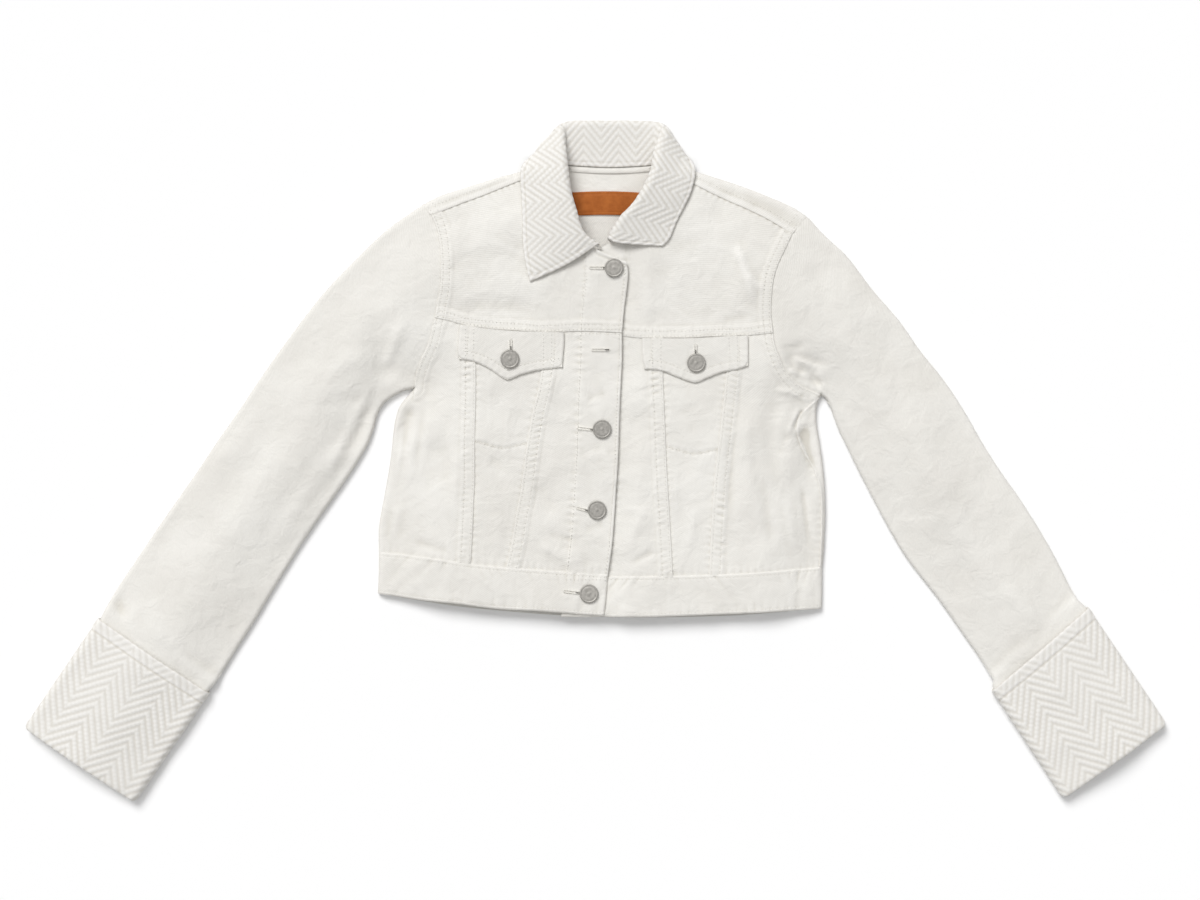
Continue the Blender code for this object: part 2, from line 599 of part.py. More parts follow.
# ------------------------------------------------------------------------------ front pieces
def side_edge(side, low):
    """The outer edge of a side panel: the armhole, then the side down to the waistband."""
    return joined(curve(ARMHOLE_SIDE[side], UNDERARM_STEPS), curve(low[side], SIDE_STEPS))


def make_fronts(side, edges, denim):
    """The yoke, side, pocket and centre panels of one front."""
    over = side == "right"
    yoke_seam = [dense_curve(part) for part in YOKE_SEAM[side]]
    band_seam = [dense_curve(part) for part in BAND_TOP[side]]
    rows = UNDERARM_STEPS + SIDE_STEPS
    outer_fell, inner_fell = curve(OUTER_FELL[side], rows), curve(INNER_FELL[side], rows)

    shoulder = joined(dense_curve(SHOULDER_SEAM[side]), dense_curve(NECKLINE[side]),
                      dense_curve(NECK_CORNER[side]))
    grid = cut_panel(shoulder, joined(*yoke_seam), curve(ARMHOLE_YOKE[side], 48),
                     curve(FRONT_EDGE_YOKE[side], 48), 12, laps=(ARMHOLE_LAP, PLACKET),
                     rows=(ARM_STEPS, 0.0, YOKE_LAP), gaps=("top", "bottom", "left"))
    drop = 0.0 if over else underlap(grid, UNDERLAP_DROP)
    lay("yoke_front_" + side, grid, "top", edges, denim, offset=drop)

    if over:
        on_fold = np.arange(rows + 1) > UNDERARM_STEPS
        grid = cut_panel(yoke_seam[0], band_seam[0], side_edge(side, BODY_SIDE), outer_fell, 5,
                         laps=(0.0, FELL_LAP), left_fold=on_fold,
                         gaps=("top", "bottom", "right"))
    else:
        grid = cut_panel(yoke_seam[0], band_seam[0], side_edge(side, SIDE_SEAM), outer_fell, 6,
                         laps=(0.0, FELL_LAP), gaps=("top", "bottom", "left", "right"))
    lay("front_side_" + side, grid, "top", edges, denim)

    grid = cut_panel(yoke_seam[1], band_seam[1], outer_fell, inner_fell, 5,
                     gaps=("top", "bottom", "left", "right"))
    lay("front_pocket_" + side, grid, "top", edges, denim)

    grid = cut_panel(yoke_seam[2], band_seam[2], inner_fell,
                     curve(FRONT_EDGE_BODY[side], rows), 4, laps=(FELL_LAP, PLACKET),
                     gaps=("top", "bottom", "left"))
    drop = 0.0 if over else underlap(grid, UNDERLAP_DROP)
    lay("front_centre_" + side, grid, "top", edges, denim, offset=drop)


def make_waistband(side, edges, denim):
    """One front of the waistband, a double layer."""
    top = joined(*[dense_curve(part) for part in BAND_TOP[side]])
    grid = cut_panel(top, dense_curve(HEM[side]), curve(BAND_SIDE[side], BAND_STEPS),
                     curve(FRONT_EDGE_BAND[side], BAND_STEPS), 12, laps=(0.0, PLACKET),
                     left_fold=np.ones(BAND_STEPS + 1, bool), gaps=("top",))
    grid[..., 2] = 0.0
    distance = nearest_edge(grid[..., :2].reshape(-1, 2), edges)[0]
    offset = BAND_RISE * ease(distance / 12.0)
    if side == "left":
        offset = offset + underlap(grid, BAND_DROP)
    lay("waistband_front_" + side, grid, "top", edges, denim, wall=BAND_CLOTH, offset=offset)


def make_flap(side, edges, denim):
    """A pocket flap, lying over the felled seams."""
    rows = 4
    grid = cut_panel(dense_curve(FLAP_TOP[side]), dense_curve(FLAP_BOTTOM[side]),
                     curve(FLAP_SIDE_SEAMWARD[side], rows),
                     curve(FLAP_SIDE_CENTRE[side], rows), 12, gaps=("top",))
    lay("flap_" + side, grid, "top", edges, denim, wall=FLAP_CLOTH,
        offset=FLAP_CLEARANCE + FLAP_CLOTH)


# ------------------------------------------------------------------------------- back pieces
def back_lines():
    """The yoke seam, the waistband seam and the two felled seams of the back."""
    yoke = np.array([ARMHOLE_SIDE["right"][0], ARMHOLE_SIDE["left"][0]], float)
    band = dense_curve(BACK_BAND_TOP)
    fells = {}
    for side, sign in (("right", -1), ("left", 1)):
        high_x = BACK_CENTRE_X + sign * BACK_FELL_TOP
        low_x = BACK_CENTRE_X + sign * BACK_FELL_HEM
        high = (high_x, np.interp(high_x, yoke[:, 0], yoke[:, 1]))
        low = (low_x, np.interp(low_x, band[:, 0], band[:, 1]))
        fells[side] = spaced([high, low], UNDERARM_STEPS + SIDE_STEPS)
    return yoke, band, fells


def wrap_strip(fold, seam, gap=SEAM_GAP / 2):
    """Columns from a seam on the upper face out to the folded edge."""
    width = np.linalg.norm(seam - fold, axis=1)
    turn = np.minimum(FOLD_RADIUS, 0.6 * width)
    reach = np.column_stack([width - gap, turn, 0.5 * turn, 0.13 * turn,
                             np.full(len(fold), FOLD_STEPS[0])])
    reach = np.maximum(reach, FOLD_STEPS[0] * np.arange(5, 0, -1))
    direction = (seam - fold) / np.maximum(width, 1e-6)[:, None]
    wide = np.nonzero(width > 1.0)[0]
    for row in np.nonzero(width <= 1.0)[0]:
        direction[row] = direction[wide[np.abs(wide - row).argmin()]]
    strip = fold[:, None] + direction[:, None] * reach[..., None]
    return np.dstack([strip, np.zeros(strip.shape[:2])])


def wrapped_panel(name, wrap, grid, closed_rows, edges, denim):
    """A back panel on the table side with a strip that wraps onto the upper face."""
    for row in (0, -1):
        wrap[row, :, :2] += grid[row, 0, :2] - wrap[row, -1, :2]
    over, over_normals = raise_grid(wrap, "top", edges)
    under, under_normals = raise_grid(grid, "bottom", edges)
    points = np.concatenate([over, under], axis=1)
    normals = np.concatenate([over_normals, under_normals], axis=1)
    mask = np.ones((points.shape[0] - 1, points.shape[1] - 1), bool)
    mask[closed_rows, :wrap.shape[1]] = False
    return shell(name, points, normals, CLOTH, denim, mask)


def make_back(edges, denim):
    """Centre back, side backs and the back of the waistband."""
    yoke, band, fells = back_lines()
    rows = UNDERARM_STEPS + SIDE_STEPS
    on_fold = np.arange(rows + 1) > UNDERARM_STEPS
    for side, turn in (("right", 1), ("left", -1)):
        fell = fells[side]
        seam = spaced([yoke[::turn][0], fell[0]], 48)
        outer = band[(band[:, 0] - fell[-1, 0]) * turn < -0.4][::turn]
        low = spaced(np.vstack([outer, fell[-1:]]), 48)
        edge = side_edge(side, BODY_SIDE)
        grid = cut_panel(seam, low, edge, fell, 3, left_fold=on_fold,
                         gaps=("top", "bottom", "right"))
        if side == "right":
            lay("back_side_right", grid, "bottom", edges, denim)
        else:
            fold = edge[UNDERARM_STEPS:]
            in_corner = np.arange(len(fold)) < CORNER_ROWS
            gap = np.where(in_corner, CORNER_GAP, SEAM_GAP / 2)
            wrap = wrap_strip(fold, curve(SIDE_SEAM[side], SIDE_STEPS), gap)
            wrap = np.concatenate([np.repeat(wrap[:1], UNDERARM_STEPS, axis=0), wrap])
            wrapped_panel("back_side_left", wrap, grid, slice(0, UNDERARM_STEPS), edges, denim)

    inner = (band[:, 0] > fells["right"][-1, 0] + 0.4) & (band[:, 0] < fells["left"][-1, 0] - 0.4)
    low = spaced(np.vstack([fells["right"][-1:], band[inner], fells["left"][-1:]]), 48)
    high = spaced([fells["right"][0], fells["left"][0]], 48)
    grid = cut_panel(high, low, fells["right"], fells["left"], 3,
                     gaps=("top", "bottom", "left", "right"))
    lay("back_centre", grid[::2], "bottom", edges, denim)

    ends = np.ones(BAND_STEPS + 1, bool)
    grid = cut_panel(band, dense_curve(BACK_HEM), curve(BAND_SIDE["right"], BAND_STEPS),
                     curve(BAND_SIDE["left"], BAND_STEPS), 10, left_fold=ends,
                     right_fold=ends, gaps=("top",))
    lay("waistband_back", grid, "bottom", edges, denim, wall=BAND_CLOTH)


def make_back_yoke(edges, denim):
    """The back yoke, which wraps over both shoulders to the seams on the front."""
    shoulder = {side: curve(SHOULDER_EDGE[side], SHOULDER_STEPS) for side in ("right", "left")}
    seam = {side: curve(SHOULDER_SEAM[side], SHOULDER_STEPS) for side in ("right", "left")}
    neck = curve(BACK_NECK, NECK_STEPS)
    upper = joined(shoulder["right"][::-1], neck, shoulder["left"])
    on_fold = np.ones(len(upper), bool)
    on_fold[SHOULDER_STEPS + 1:SHOULDER_STEPS + NECK_STEPS] = False
    arms = [joined(dense_curve(ARMHOLE_TOP[side]), dense_curve(ARMHOLE_YOKE[side]))
            for side in ("right", "left")]
    lower = spaced(back_lines()[0], len(upper) - 1)
    grid = cut_panel(arms[0], arms[1], upper, lower, BACK_YOKE_STEPS, left_fold=on_fold,
                     gaps=("top", "bottom", "right"))
    over_seam = np.vstack([seam["right"], neck[1:-1] - [0, 8], seam["left"][::-1]])
    wrap = wrap_strip(upper, over_seam)
    closed = slice(SHOULDER_STEPS, SHOULDER_STEPS + NECK_STEPS)
    wrapped_panel("back_yoke", wrap, grid, closed, edges, denim)


# --------------------------------------------------------------------------- sleeves and cuffs
def cuff_frame(side):
    """The cuff's four corners in plan and its axis."""
    corners = [np.array(corner, float) for corner in CUFF_CORNERS[side]]
    top_outer, top_inner, low_outer, low_inner = corners
    axis = (low_outer + low_inner - top_outer - top_inner) / 2
    return corners, axis / np.linalg.norm(axis)


def sleeve_edges(side):
    """The outer and inner edge of a sleeve, down to its end inside the cuff."""
    (top_outer, top_inner, low_outer, low_inner), axis = cuff_frame(side)
    across = (top_inner - top_outer) / np.linalg.norm(top_inner - top_outer)
    edges = []
    for line, top, low, inward in ((SLEEVE_OUTER[side], top_outer, low_outer, across),
                                   (SLEEVE_INNER[side], top_inner, low_inner, -across)):
        run = (low - top) / np.linalg.norm(low - top)
        length = np.linalg.norm(low - top)
        inside = [top + run * share + inward * SLEEVE_IN_CUFF
                  for share in (-1.5, length / 2, length - SLEEVE_SHORT)]
        visible = dense_curve(line)
        seen = np.linalg.norm(np.diff(visible, axis=0), axis=1).sum() - SLEEVE_BEFORE_CUFF
        edges.append((at_lengths(visible, np.linspace(0, seen, 150)), np.array(inside)))
    return edges


def sleeve_lines(side):
    """Outer and inner edge points of a sleeve, row by row, and its form in each row."""
    rows = []
    for (visible, inside), crowding in zip(sleeve_edges(side), (OUTER_CROWDING, INNER_CROWDING)):
        length = np.linalg.norm(np.diff(visible, axis=0), axis=1).sum()
        shares = np.linspace(0, 1, SLEEVE_STEPS + 1) ** crowding
        rows.append(np.vstack([at_lengths(visible, shares * length), inside]))
    in_cuff = np.zeros(len(rows[0]))
    in_cuff[-3:] = 1.0
    return rows[0], rows[1], in_cuff


def folded_edges():
    """Every line where the garment folds over, with the garment on its left."""
    edges = []
    for side, turn in (("right", 1), ("left", -1)):
        (outer_seen, outer_inside), (inner_seen, inner_inside) = sleeve_edges(side)
        outer = np.vstack([dense_curve(SHOULDER_EDGE[side]), outer_seen[1:], outer_inside])
        inner = np.vstack([inner_seen, inner_inside])
        body = joined(dense_curve(BODY_SIDE[side]), dense_curve(BAND_SIDE[side]))
        edges += [outer[::turn], inner[::-turn], body[::turn]]
    return edges


def make_sleeve(side, edges, denim):
    """The upper and the under sleeve, two half tubes that meet along the folded edges."""
    outer, inner, in_cuff = sleeve_lines(side)
    on_fold = np.ones(len(outer), bool)
    on_fold[0] = False
    arm_parts = (ARMHOLE_TOP[side], ARMHOLE_YOKE[side], ARMHOLE_SIDE[side])
    armhole = joined(*[dense_curve(part) for part in arm_parts])
    end = spaced([outer[-1], inner[-1]], 48)
    lengths = [np.linalg.norm(np.diff(dense_curve(part), axis=0), axis=1).sum()
               for part in arm_parts]
    turn = FOLD_STEPS[-1]
    low = lengths[0] + lengths[1]
    on_yoke = {"top": lengths[0] + positions(lengths[1], 0.0, YOKE_LAP, ARM_STEPS)[0],
               "bottom": np.linspace(turn, low, BACK_YOKE_STEPS + 1)[1:]}
    on_side = np.linspace(low, low + lengths[2], UNDERARM_STEPS + 1)[1:-1]
    for layer, name in (("top", "sleeve_upper_"), ("bottom", "sleeve_under_")):
        places = [turn, *on_yoke[layer], *on_side, sum(lengths) - turn]
        grid = cut_panel(armhole, end, outer, inner, 0, left_fold=on_fold,
                         right_fold=on_fold, gaps=("top",), places=places,
                         fade=ARMHOLE_FADE)
        share = np.repeat(in_cuff[:, None], grid.shape[1], axis=1).ravel()
        form = {"radius": FOLD_RADIUS + share * (CUFF_RADIUS - SLEEVE_IN_CUFF - FOLD_RADIUS),
                "crown": CROWN + share * (CUFF_CROWN - CUFF_SLACK - CROWN),
                "base": share * SLEEVE_IN_CUFF}
        points, normals = raise_grid(grid, layer, edges, **form)
        shell(name + side, points, normals, CLOTH, denim)


def make_cuff(side, wool):
    """A turned-up cuff: an outer wall, a round fold at its end and a turn inside."""
    (top_outer, top_inner, low_outer, low_inner), axis = cuff_frame(side)
    length = np.linalg.norm(low_outer - top_outer + low_inner - top_inner) / 2
    inner_face = SLEEVE_IN_CUFF + CLOTH + SEAM_GAP + CUFF_CLOTH
    turn = inner_face / 2
    slot = turn - CUFF_CLOTH
    profile = [(0.0, 0.0), (length * 0.33, 0.0), (length * 0.66, 0.0), (length - turn, 0.0)]
    profile += arc(length - turn, turn, turn, (-45, 0, 45, 90))
    profile += [(length - CUFF_RETURN, inner_face), (length - CUFF_RETURN, inner_face - CUFF_CLOTH)]
    profile += arc(length - turn, turn, slot, (90, 0, -90))
    profile += [(length * 0.66, CUFF_CLOTH), (length * 0.33, CUFF_CLOTH), (0.0, CUFF_CLOTH)]
    mesh = bmesh.new()
    loops = []
    for along, depth in profile:
        share = along / length
        start = top_outer + (low_outer - top_outer) * share
        finish_point = top_inner + (low_inner - top_inner) * share
        loops.append([mesh.verts.new(Vector((point + np.array([*CENTRE_SHIFT, 0.0])) * MM))
                      for point in cuff_ring(start, finish_point, depth)])
    for one, two in zip(loops, loops[1:] + loops[:1]):
        for k in range(len(one)):
            after = (k + 1) % len(one)
            mesh.faces.new([one[k], two[k], two[after], one[after]])
    bmesh.ops.recalc_face_normals(mesh, faces=mesh.faces)
    return finish("cuff_" + side, mesh, wool)


def arc(along, depth, radius, angles):
    """Points of a round turn, as distance along the cuff and depth from its face."""
    return [(along + radius * math.cos(math.radians(angle)),
             depth + radius * math.sin(math.radians(angle))) for angle in angles]


def cuff_ring(start, finish_point, depth):
    """One ring of a cuff at a depth below its outer face, across from edge to edge."""
    width = np.linalg.norm(finish_point - start)
    across = (finish_point - start) / width
    radius = CUFF_RADIUS - depth
    ring = []
    turns = np.radians((0.0, 30.0, 60.0, 90.0))
    middle = np.linspace(CUFF_RADIUS, width - CUFF_RADIUS, 6)[1:-1]
    near = [(CUFF_RADIUS - radius * math.cos(t), radius * math.sin(t)) for t in turns]
    far = [(width - place, rise) for place, rise in reversed(near)]
    upper = near + [(place, radius) for place in middle] + far
    for place, rise in upper:
        inset = min(place, width - place)
        crown = CUFF_CROWN * float(ease(inset / CROWN_REACH))
        ring.append((place, CUFF_RADIUS + rise + crown))
    for place, rise in reversed(near[1:] + [(place, radius) for place in middle[::2]] + far[:-1]):
        ring.append((place, CUFF_RADIUS - rise))
    return [np.array([*(start + across * place), height]) for place, height in ring]


# ---------------------------------------------------------------- collar, label and buttons
def make_collar(wool):
    """The collar, one piece of cloth from the stand over the roll to the fall's edge."""
    sections = [np.array(row, float).reshape(-1, 3) for row in COLLAR]
    across = []
    for section in sections:
        line = dense_curve(section)
        across.append(joined(*[spaced(line[k * 8:k * 8 + 9], steps)
                               for k, steps in enumerate(COLLAR_STEPS)]))
    across = np.array(across)
    grid = np.array([curve_through(across[:, k], COLLAR_FINE) for k in range(across.shape[1])])
    grid = grid.transpose(1, 0, 2)
    grid[..., 2] = np.maximum(grid[..., 2], 0.0)
    normals = np.cross(directions(grid, 1), directions(grid, 0))
    normals /= np.linalg.norm(normals, axis=2)[..., None]
    middle = grid.shape[0] // 2
    if normals[middle, 1, 2] < 0:
        normals = -normals
    return shell("collar", grid, normals, COLLAR_CLOTH, wool)


def directions(grid, axis):
    """Unit directions of a grid's lines along one axis, halfway between the two steps."""
    steps = np.diff(grid, axis=axis)
    steps /= np.linalg.norm(steps, axis=2)[..., None]
    first, last = steps.take([0], axis), steps.take([-1], axis)
    both = np.concatenate([first, steps], axis) + np.concatenate([steps, last], axis)
    return both / np.linalg.norm(both, axis=2)[..., None]


def curve_through(points, fine):
    """A smooth line through the points with the given number of steps in each span."""
    dense = dense_curve(points)
    return np.vstack([dense[k] for k in range(0, len(dense), 8 // fine)])


def make_strip_on_back(name, corners, edges, wall, material, columns, rows):
    """A flat piece that lies on the inner face of the back yoke."""
    (left, right, low, high) = corners
    x, y = np.meshgrid(np.linspace(left, right, columns + 1), np.linspace(high, low, rows + 1))
    flat = np.column_stack([x.ravel(), y.ravel()])
    height = drape(flat, "bottom", edges)[0] + CLOTH + LAID_ON + wall
    points = np.dstack([x, y, height.reshape(x.shape)])
    normals = np.zeros_like(points)
    normals[..., 2] = 1.0
    return shell(name, points, normals, wall, material)


def make_button(name, x, y, seat, edges, metal):
    """A round shank button with a rim and a dished face."""
    rise = {"placket": LAP_RISE, "flap": FLAP_CLEARANCE + FLAP_CLOTH, "waistband": BAND_RISE}
    ground = drape(np.array([[x, y]]), "top", edges)[0][0] + rise[seat] + SEAM_GAP
    mesh = bmesh.new()
    rings = []
    for radius, height in BUTTON_PROFILE:
        rings.append([mesh.verts.new(Vector((x + CENTRE_SHIFT[0] + radius * math.cos(turn),
                                             y + CENTRE_SHIFT[1] + radius * math.sin(turn),
                                             ground + height)) * MM)
                      for turn in np.linspace(0, math.tau, BUTTON_SIDES, endpoint=False)])
    for one, two in zip(rings, rings[1:]):
        for k in range(BUTTON_SIDES):
            after = (k + 1) % BUTTON_SIDES
            mesh.faces.new([one[k], one[after], two[after], two[k]])
    mesh.faces.new(rings[0][::-1])
    mesh.faces.new(rings[-1])
    bmesh.ops.recalc_face_normals(mesh, faces=mesh.faces)
    return finish(name, mesh, metal)


# --------------------------------------------------------------------------------- the jacket
def plain_finish(name, colour, roughness, metallic=0.0):
    """A principled finish of one colour."""
    material = bpy.data.materials.new(name)
    material.use_nodes = True
    shader = material.node_tree.nodes["Principled BSDF"]
    shader.inputs["Base Color"].default_value = (*colour, 1.0)
    shader.inputs["Roughness"].default_value = roughness
    shader.inputs["Metallic"].default_value = metallic
    material.diffuse_color = (*colour, 1.0)
    return material


def main():
    for thing in list(bpy.data.objects):
        bpy.data.objects.remove(thing, do_unlink=True)
    denim = plain_finish("white_denim", (0.80, 0.78, 0.73), 0.85)
    wool = plain_finish("herringbone", (0.78, 0.76, 0.71), 0.9)
    leather = plain_finish("leather", (0.35, 0.12, 0.04), 0.55)
    metal = plain_finish("button_metal", (0.36, 0.36, 0.35), 0.4, 1.0)
    edges = folded_edges()
    make_back_yoke(edges, denim)
    make_back(edges, denim)
    for side in ("right", "left"):
        make_fronts(side, edges, denim)
        make_waistband(side, edges, denim)
        make_flap(side, edges, denim)
        make_sleeve(side, edges, denim)
        make_cuff(side, wool)
    make_collar(wool)
    make_strip_on_back("neck_binding", NECK_BINDING, edges, 0.8, denim, 6, 1)
    make_strip_on_back("neck_label", NECK_LABEL, edges, 1.4, leather, 4, 2)
    for name, x, y, seat in BUTTONS:
        make_button(name, x, y, seat, edges, metal)


main()
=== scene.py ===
# %% [markdown]
# # A cropped white denim jacket, laid flat
# The jacket lies on its back with its sleeves spread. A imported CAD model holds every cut
# piece as a plain solid wall. This script gives each piece its finish: creases, puckered
# seams, rows of stitches, a herringbone cloth with real ribs, a leather label and metal
# buttons. The CAD model is loaded first, and every new piece is made in the same place.

# %% Tools and the frame
import json
import math

import bmesh
import bpy
import numpy as np
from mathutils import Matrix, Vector
from mathutils.bvhtree import BVHTree

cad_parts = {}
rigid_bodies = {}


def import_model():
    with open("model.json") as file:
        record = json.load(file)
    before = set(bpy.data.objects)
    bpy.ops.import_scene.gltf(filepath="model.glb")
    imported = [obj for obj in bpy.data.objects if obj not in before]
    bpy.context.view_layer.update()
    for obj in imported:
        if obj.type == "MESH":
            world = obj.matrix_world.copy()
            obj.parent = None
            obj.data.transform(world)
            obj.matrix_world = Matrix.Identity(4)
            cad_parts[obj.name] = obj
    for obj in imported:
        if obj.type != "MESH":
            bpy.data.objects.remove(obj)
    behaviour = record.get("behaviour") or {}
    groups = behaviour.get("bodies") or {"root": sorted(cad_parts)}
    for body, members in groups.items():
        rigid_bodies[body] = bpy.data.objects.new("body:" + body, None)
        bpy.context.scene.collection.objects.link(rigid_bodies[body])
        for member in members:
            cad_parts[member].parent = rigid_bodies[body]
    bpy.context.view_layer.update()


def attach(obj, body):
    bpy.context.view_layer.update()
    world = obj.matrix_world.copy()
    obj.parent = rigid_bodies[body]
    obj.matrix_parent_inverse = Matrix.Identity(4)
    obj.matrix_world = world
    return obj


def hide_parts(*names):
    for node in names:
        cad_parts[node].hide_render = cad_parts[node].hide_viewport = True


for thing in list(bpy.data.objects):
    bpy.data.objects.remove(thing, do_unlink=True)
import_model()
MM = 0.001

# %% [markdown]
# ## Measures of the jacket
# Sizes are in millimetres, x to the right and y towards the collar, as the jacket lies.
# Right and left are the wearer's. These are the same driving sizes as in the CAD source,
# so the finished cloth lies where the solids are.

# %% Driving sizes
CENTRE_SHIFT = np.array([0.5, -1.1])
CLOTH = 1.2
BAND_CLOTH = 2.6
COLLAR_CLOTH = 2.2
CUFF_CLOTH = 2.0
FOLD_RADIUS = 4.0
CROWN = 9.0
CROWN_REACH = 66.0
UNDERLAP_DROP = 3.3
UNDERLAP_EASE = 24.0
COLLAR_LIFT = 2.9
NECK_CENTRE_X = 14.0
CUFF_RADIUS = 7.0
CUFF_CROWN = 6.0
SLEEVE_IN_CUFF = 2.4
CUFF_SLACK = 1.5
FLAP_RISE = 3.2
BAND_RISE = 0.6
BAND_DROP = 3.2
FELL_LAP = 13.0
ARMHOLE_LAP = 11.0
YOKE_LAP = 10.0
PLACKET = 42.0

# %% [markdown]
# ## Smooth lines from a few points
# A tailor draws a seam through a few marks with a curved ruler. `dense_curve` does the
# same: it bends a line through the given points, so each table below stays short. `hump`
# and `rolled_edge` are the two shapes that most of the small relief is made of.

# %% Curve helpers
def dense_curve(points, steps=8):
    """A smooth line of many points through the given ones, with some steps in each span."""
    points = [np.array(p, float) for p in points]
    ends = [2 * points[0] - points[1]] + points + [2 * points[-1] - points[-2]]
    dense = []
    for a, b, c, d in zip(ends, ends[1:], ends[2:], ends[3:]):
        span = np.linalg.norm(c - b)
        leave = (c - a) / np.linalg.norm(c - a) * span
        arrive = (d - b) / np.linalg.norm(d - b) * span
        for t in np.arange(steps) / steps:
            dense.append((2 * t**3 - 3 * t**2 + 1) * b + (t**3 - 2 * t**2 + t) * leave
                         + (3 * t**2 - 2 * t**3) * c + (t**3 - t**2) * arrive)
    dense.append(points[-1])
    return np.array(dense)


def lengths_along(line):
    """The distance of each point of a line from its start."""
    steps = np.linalg.norm(np.diff(line, axis=0), axis=1)
    return np.concatenate([[0], np.cumsum(steps)])


def at_lengths(line, wanted):
    """Points at the wanted distances along a line."""
    length = lengths_along(line)
    return np.stack([np.interp(wanted, length, line[:, k]) for k in range(line.shape[1])], -1)


def at_shares(line, shares):
    """Points at the given shares of a line's length."""
    return at_lengths(line, np.asarray(shares) * lengths_along(line)[-1])


def joined(*lines):
    """Several lines end to end, each shared point once."""
    return np.vstack([lines[0]] + [line[1:] for line in lines[1:]])


def ease(t):
    """A soft step from 0 to 1."""
    t = np.clip(t, 0.0, 1.0)
    return t * t * (3 - 2 * t)


def hump(distance, place, reach):
    """A smooth hump, 1 at a place and fading to nothing beyond its reach on either side."""
    return np.exp(-((distance - place) / reach) ** 2)


def rolled_edge(distance, reach):
    """How cloth turns down at its edge: 1 at the edge, fading to 0 within the reach."""
    return (1 - ease(distance / reach)) ** 2


# %% [markdown]
# ## The pattern
# These are the outlines of the cut pieces as they lie: first the edges where the garment
# folds over, then the seams. The shoulder seams lie a little to the front, because the
# back yoke wraps over the shoulders.

# %% Folded edges
SHOULDER_EDGE = {
    "right": [(-43, 302), (-56, 299), (-76, 291), (-96, 286), (-116, 280), (-136, 273.5),
              (-156, 267), (-174, 258)],
    "left": [(72, 302), (84, 297), (101, 291), (145, 277), (183, 262), (198, 255), (206, 250),
             (211, 246.5)],
}
SLEEVE_OUTER = {
    "right": [(-174, 258), (-190, 247), (-211, 232), (-242, 202), (-271, 172), (-295, 142),
              (-317, 112), (-338, 82), (-358, 52), (-379, 22), (-399, -8), (-420, -38),
              (-441, -68), (-461, -98), (-481, -128), (-497, -156)],
    "left": [(211, 246.5), (215.5, 242.5), (222, 235), (234, 223), (252, 206), (278, 172),
             (304, 142), (325, 112), (349, 82), (369, 52), (386, 22), (405, -8), (426, -38),
             (445, -68), (462, -98), (477, -128), (488, -146)],
}
SLEEVE_INNER = {
    "right": [(-182, 74), (-192, 71.5), (-204, 65.5), (-214, 57), (-220, 46), (-223, 34),
              (-229, 18), (-238, 2), (-251, -18), (-265, -38), (-290, -74), (-316, -115),
              (-343, -160), (-364, -193), (-386.5, -230)],
    "left": [(226, 67), (231, 63), (235, 55), (239, 44), (244, 31), (252, 15), (264, -10),
             (307, -89), (344, -138), (372, -178), (384, -195), (403, -226)],
}
BODY_SIDE = {
    "right": [(-182, 74), (-190, 65), (-197, 56), (-201, 44), (-203, 32), (-205, 12),
              (-207, -3), (-213, -38), (-216, -53), (-218, -68), (-218, -90)],
    "left": [(226, 67), (222, 58), (221, 42), (224, 22), (227, 2), (229, -18), (230, -38),
             (230, -58), (229, -78), (227, -105)],
}
BAND_SIDE = {
    "right": [(-218, -90), (-218, -111), (-219, -132)],
    "left": [(227, -105), (227, -126), (226.5, -147)],
}

# %% Seams of the front
ARMHOLE_TOP = {
    "right": [(-174, 258), (-169, 252.5), (-165, 247)],
    "left": [(211, 246.5), (203.5, 238), (197, 229)],
}
ARMHOLE_YOKE = {
    "right": [(-165, 247), (-160, 235), (-157, 222), (-155, 202), (-155, 187),
              (-156, 172), (-159, 157), (-161, 144)],
    "left": [(197, 229), (189, 212), (184, 202), (180, 192), (177, 180), (175.5, 165),
             (175, 152), (176, 137), (177, 129)],
}
ARMHOLE_SIDE = {
    "right": [(-161, 144), (-164, 132), (-168, 117), (-174, 105), (-178, 95),
              (-181, 85), (-182, 74)],
    "left": [(177, 129), (179, 117), (183, 107), (187, 97), (194, 86), (204, 77),
             (215, 72), (226, 67)],
}
SHOULDER_SEAM = {
    "right": [(-165, 247), (-155, 251), (-136, 258.5), (-116, 266), (-96, 274), (-75, 282),
              (-56, 289), (-43, 293)],
    "left": [(197, 229), (189, 233), (174, 242), (154, 252), (129, 263), (114, 270),
             (98, 278), (84, 286), (71, 292)],
}
NECKLINE = {
    "right": [(-43, 293), (-41, 278), (-37, 262), (-31, 245), (-22, 229), (-10, 218),
              (4, 211)],
    "left": [(71, 292), (67, 278), (60, 262), (52, 248), (42, 236), (28, 226), (14, 219)],
}
NECK_CORNER = {
    "right": [(4, 211), (19, 205), (31, 200)],
    "left": [(14, 219), (2, 213), (-13, 208)],
}
YOKE_SEAM = {                  # armhole, first felled seam, second felled seam, edge
    "right": [[(-161, 144), (-146, 141), (-133, 137), (-120, 134.5)],
              [(-120, 134.5), (-96, 132), (-76, 131), (-55, 129)],
              [(-55, 129), (-31, 130), (-16, 130.5), (4, 130), (26, 129)]],
    "left": [[(177, 129), (159, 127), (144, 126), (130, 125.5)],
             [(130, 125.5), (114, 125), (94, 124), (67, 123.7)],
             [(67, 123.7), (44, 124), (26, 125.5), (4, 126), (-18, 126)]],
}
OUTER_FELL = {
    "right": [(-120, 134.5), (-120, 100), (-120, 62), (-121, 22), (-121, -18),
              (-122, -38), (-123, -68), (-125, -101.2)],
    "left": [(130, 125.5), (131, 107), (130, 89), (128, 67), (123, 22), (118, -23),
             (115, -68), (113, -112.2)],
}
